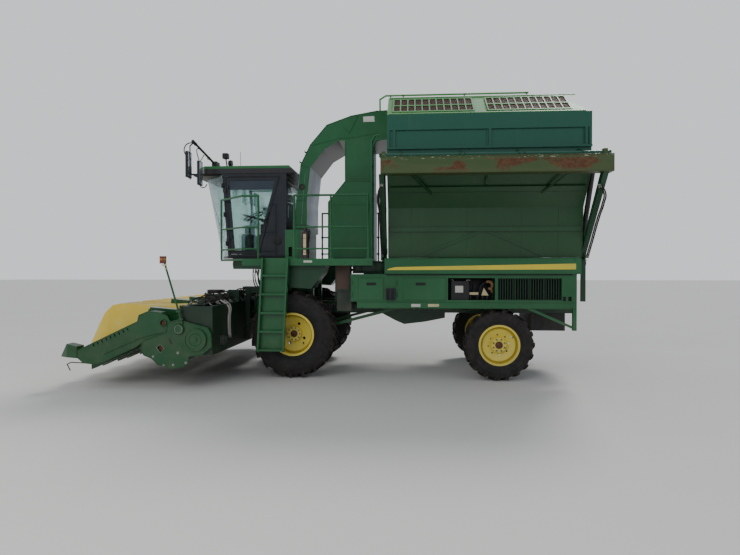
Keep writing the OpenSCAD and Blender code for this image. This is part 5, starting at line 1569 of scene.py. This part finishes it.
def make_open_bay():
    """In the open bay: battery caps, leads and a blank label, a cream bar and guard, clay pipes."""
    top = [drum((x, y, 1.604), (x, y, 1.612), 0.016, 16, 0.002)
           for x in (2.64, 2.69, 2.74, 2.79, 2.84) for y in (-1.14, -1.02)]
    top.append(block((2.605, -1.195, 1.585), (2.875, -0.965, 1.598), 0.005))
    piece("battery_caps", top, black)
    posts = [drum((x, -1.16, 1.60), (x, -1.16, 1.625), 0.011, 16, 0.002) for x in (2.63, 2.85)]
    piece("battery_posts", posts, zinc)
    leads = [[(2.63, -1.16, 1.625), (2.60, -1.13, 1.63), (2.57, -1.05, 1.58), (2.56, -0.97, 1.45),
              (2.56, -0.91, 1.34)],
             [(2.85, -1.16, 1.625), (2.90, -1.14, 1.62), (2.95, -1.06, 1.56), (2.96, -0.96, 1.42),
              (2.96, -0.91, 1.33)]]
    make_hose("battery_leads", leads, 0.009)
    piece("battery_blank_label", [block((2.66, -1.2045, 1.42), (2.79, -1.1995, 1.53), 0.001)],
          white_enamel)
    guard = [block((2.89, -1.17, 1.382), (3.04, -1.14, 1.424), 0.006),
             sheet_ring([(3.085, 1.372), (3.205, 1.372), (3.125, 1.498)], -1.165, -1.155, 0.002)]
    piece("bay_cream_guard", guard, cream)
    stands = [block((x, -1.15, 1.29), (x + 0.02, -1.12, 1.385), 0.004) for x in (2.90, 3.01, 3.10, 3.17)]
    stands.append(tube([(3.06, -1.0, 1.30), (3.07, -1.02, 1.45), (3.12, -1.04, 1.56),
                        (3.22, -1.04, 1.60)], 0.022))
    piece("bay_dark_stands", stands, black)
    pipes = [tube([(3.17, -1.10, 1.60), (3.24, -1.11, 1.59), (3.27, -1.10, 1.55), (3.27, -1.06, 1.50)],
                  0.026, 20),
             tube([(3.21, -1.08, 1.49), (3.25, -1.09, 1.47), (3.275, -1.06, 1.42)], 0.022, 20)]
    piece("bay_tan_pipes", pipes, tan)


make_open_bay()


def make_grille_core():
    """The radiator core behind the grille's slats on both sides, and the slats' centre ties."""
    piece("radiator_core", pair(block, (3.345, 1.186, 1.305), (4.336, 1.176, 1.63), 0.001), core_with_painted_gap_shade)
    ties = [tie for x in (3.60, 3.84, 4.08)
            for tie in pair(drum, (x, 1.228, 1.30), (x, 1.228, 1.64), 0.005, 10, 0.001)]
    piece("grille_ties", ties, dark_green)


make_grille_core()


def make_engine_details():
    """Engine: six rocker covers, manifold and silencer, injector lines, filters, fan and belt wheels."""
    covers, lines = [], []
    for i in range(6):
        x = 2.52 + 0.155 * i
        covers.append(block((x - 0.065, -0.10, 1.778), (x + 0.065, 0.12, 1.84), 0.016, 3))
        lines.append([(x, -0.11, 1.80), (x, -0.20, 1.84), (x + 0.02, -0.30, 1.78),
                      (2.95 + 0.02 * i, -0.385, 1.58)])
    covers += [block((2.48, 0.28, 1.70), (3.42, 0.385, 1.81), 0.03, 3),
               drum((3.05, 0.33, 1.80), (3.05, 0.33, 1.90), 0.05, 28, 0.006)]
    piece("engine_rocker_covers", covers, cast)
    make_hose("injector_lines", lines, 0.005)
    filters = [drum((2.55 + 0.16 * i, -0.44, 1.42), (2.55 + 0.16 * i, -0.44, 1.62), 0.055, 32, 0.008)
               for i in range(3)]
    filters.append(block((2.47, -0.46, 1.60), (2.95, -0.365, 1.65), 0.01))
    piece("engine_filters", filters, white_enamel)
    outline = [(3.55, 1.52), (3.585, 1.55), (3.60, 1.76), (3.56, 1.78), (3.535, 1.70)]
    sample = sheet_ring(outline, -0.03, 0.03, 0.002)
    sample.data.transform(turned(math.radians(35), "Z", (3.56, 0.0, 1.52)))
    blades = [copy_of(sample, turned(i * math.tau / 8, "X", (3.56, 0.0, 1.50))) for i in range(8)]
    throw_away(sample)
    blades.append(drum((3.49, 0.0, 1.50), (3.61, 0.0, 1.50), 0.05, 32, 0.005))
    piece("engine_fan", blades, black)
    wheels = [drum((3.50, y, z), (3.53, y, z), r, 36, 0.004)
              for y, z, r in ((0.0, 1.34, 0.11), (-0.24, 1.62, 0.06), (0.22, 1.5, 0.07))]
    piece("engine_belt_wheels", wheels, worn_steel)
    loop = [(0.0, 1.225), (-0.13, 1.36), (-0.30, 1.62), (-0.24, 1.684), (0.0, 1.56), (0.24, 1.573),
            (0.292, 1.50), (0.13, 1.29), (0.0, 1.225)]
    piece("engine_belt", [tube([(3.517, y, z) for y, z in loop], 0.007, 8)], hose_rubber)


make_engine_details()


# Underside

def make_running_gear_details():
    """Bolts and brake lines on the axles, pipes along the frame and the tie rod's rubber boots."""
    heads = []
    for s in SIDES:
        heads += bolt_heads(ring_of((0.0, s * 0.822, 0.725), 0.12, 10), (0.0, s, 0.0), 0.012, 0.008)
        for x in both(0.09):
            heads += bolt_heads([(x, s * y, 1.042) for y in (0.42, 0.48)], UP, 0.014, 0.012)
    piece("axle_bolts", heads, zinc)
    across = [(0.13, -0.55, 0.95), (0.16, -0.40, 1.0), (0.18, -0.20, 0.97), (0.18, 0.2, 0.97),
              (0.16, 0.40, 1.0), (0.13, 0.55, 0.95)]
    back = [(0.115, -0.2, 0.9), (0.4, -0.25, 1.0), (0.9, -0.36, 1.03), (1.3, -0.365, 1.06)]
    make_hose("axle_lines", [across, back], 0.009)
    run = ((-0.5, 1.12), (0.8, 1.12), (2.2, 1.10), (3.9, 1.10))
    rails = [[(x, s * (0.522 + 0.022 * k), z + 0.03 * k) for x, z in run] for k in range(3)
             for s in SIDES]
    piece("frame_pipes", [tube(r, 0.008) for r in rails], worn_steel)
    clips = [clip for x in (0.6, 1.6, 2.7, 3.6)
             for clip in pair(block, (x - 0.015, 0.508, 1.095), (x + 0.015, 0.585, 1.20), 0.004)]
    piece("frame_pipe_clips", clips, black_paint)
    boots = [torus((3.60, s * (0.62 - 0.018 * k), 0.383), 0.026 - 0.002 * k, 0.007, "Y", 24)
             for s in SIDES for k in range(4)]
    piece("tie_rod_boots", boots, hose_rubber, "tie_rod")


make_running_gear_details()


# Deck and rear

RAIL_POSTS_X = (0.064, 0.660, 1.260)


def make_deck_details():
    """Ball clamps on the deck's rails, bolts, bearers and hoses under the deck, and the tail lamps."""
    clamps, heads, bearers = [], [], []
    for s in SIDES:
        for x in RAIL_POSTS_X:
            for z in (2.130, 2.480):
                clamps.append(drum((x, s * 1.431, z - 0.022), (x, s * 1.431, z + 0.022), 0.024, 20,
                                   0.004))
            clamps.append(block((x - 0.045, s * 1.39, 1.968), (x + 0.045, s * 1.449, 1.980), 0.003))
    piece("rail_clamps", clamps, green)
    for s in SIDES:
        heads += bolt_heads([(x + dx, s * 1.42, 1.980) for x in RAIL_POSTS_X for dx in both(0.032)], UP,
                            0.008, 0.007)
        heads += bolt_heads(along((0.05, s * 1.45, 1.90), (1.28, s * 1.45, 1.90), 7), (0.0, s, 0.0),
                            0.009, 0.008)
    for x, z in rungs():
        heads += bolt_heads([(x + 0.02, -1.552, z)], (0.0, -1.0, 0.0), 0.010, 0.008)
    piece("deck_bolts", heads, green)
    for y in both(1.0):
        bearers += [block((0.97, y - 0.01, 1.73), (1.50, y + 0.01, 1.935), 0.004),
                    block((0.97, y - 0.05, 1.73), (1.50, y + 0.05, 1.745), 0.003),
                    block((0.97, y - 0.05, 1.92), (1.50, y + 0.05, 1.935), 0.003)]
        bearers += [block((x, y - 0.045, 1.74), (x + 0.012, y + 0.045, 1.925), 0.002)
                    for x in (1.10, 1.36)]
    piece("deck_bearers", bearers, dark_green)
    routes = [[(0.75, -0.92 + 0.04 * k, 1.70 + 0.03 * k), (1.05, -0.93 + 0.04 * k, 1.80),
               (1.30, -0.92 + 0.04 * k, 1.78 + 0.03 * k), (1.62, -0.9, 1.74)] for k in range(5)]
    make_hose("deck_underside_hoses", routes, 0.013)
    piece("tail_lamp_bodies", pair(block, (4.787, 0.80, 1.865), (4.806, 0.96, 1.935), 0.006, 3), black)
    piece("tail_lamp_red", pair(block, (4.805, 0.81, 1.873), (4.813, 0.875, 1.927), 0.004), lens_red)
    piece("tail_lamp_amber", pair(block, (4.805, 0.885, 1.873), (4.813, 0.95, 1.927), 0.004), lens_amber)
    label = block((0.205, -1.4045, 2.03), (0.252, -1.392, 2.37), 0.003)
    piece("bottle_blank_label", [label], cream)


make_deck_details()
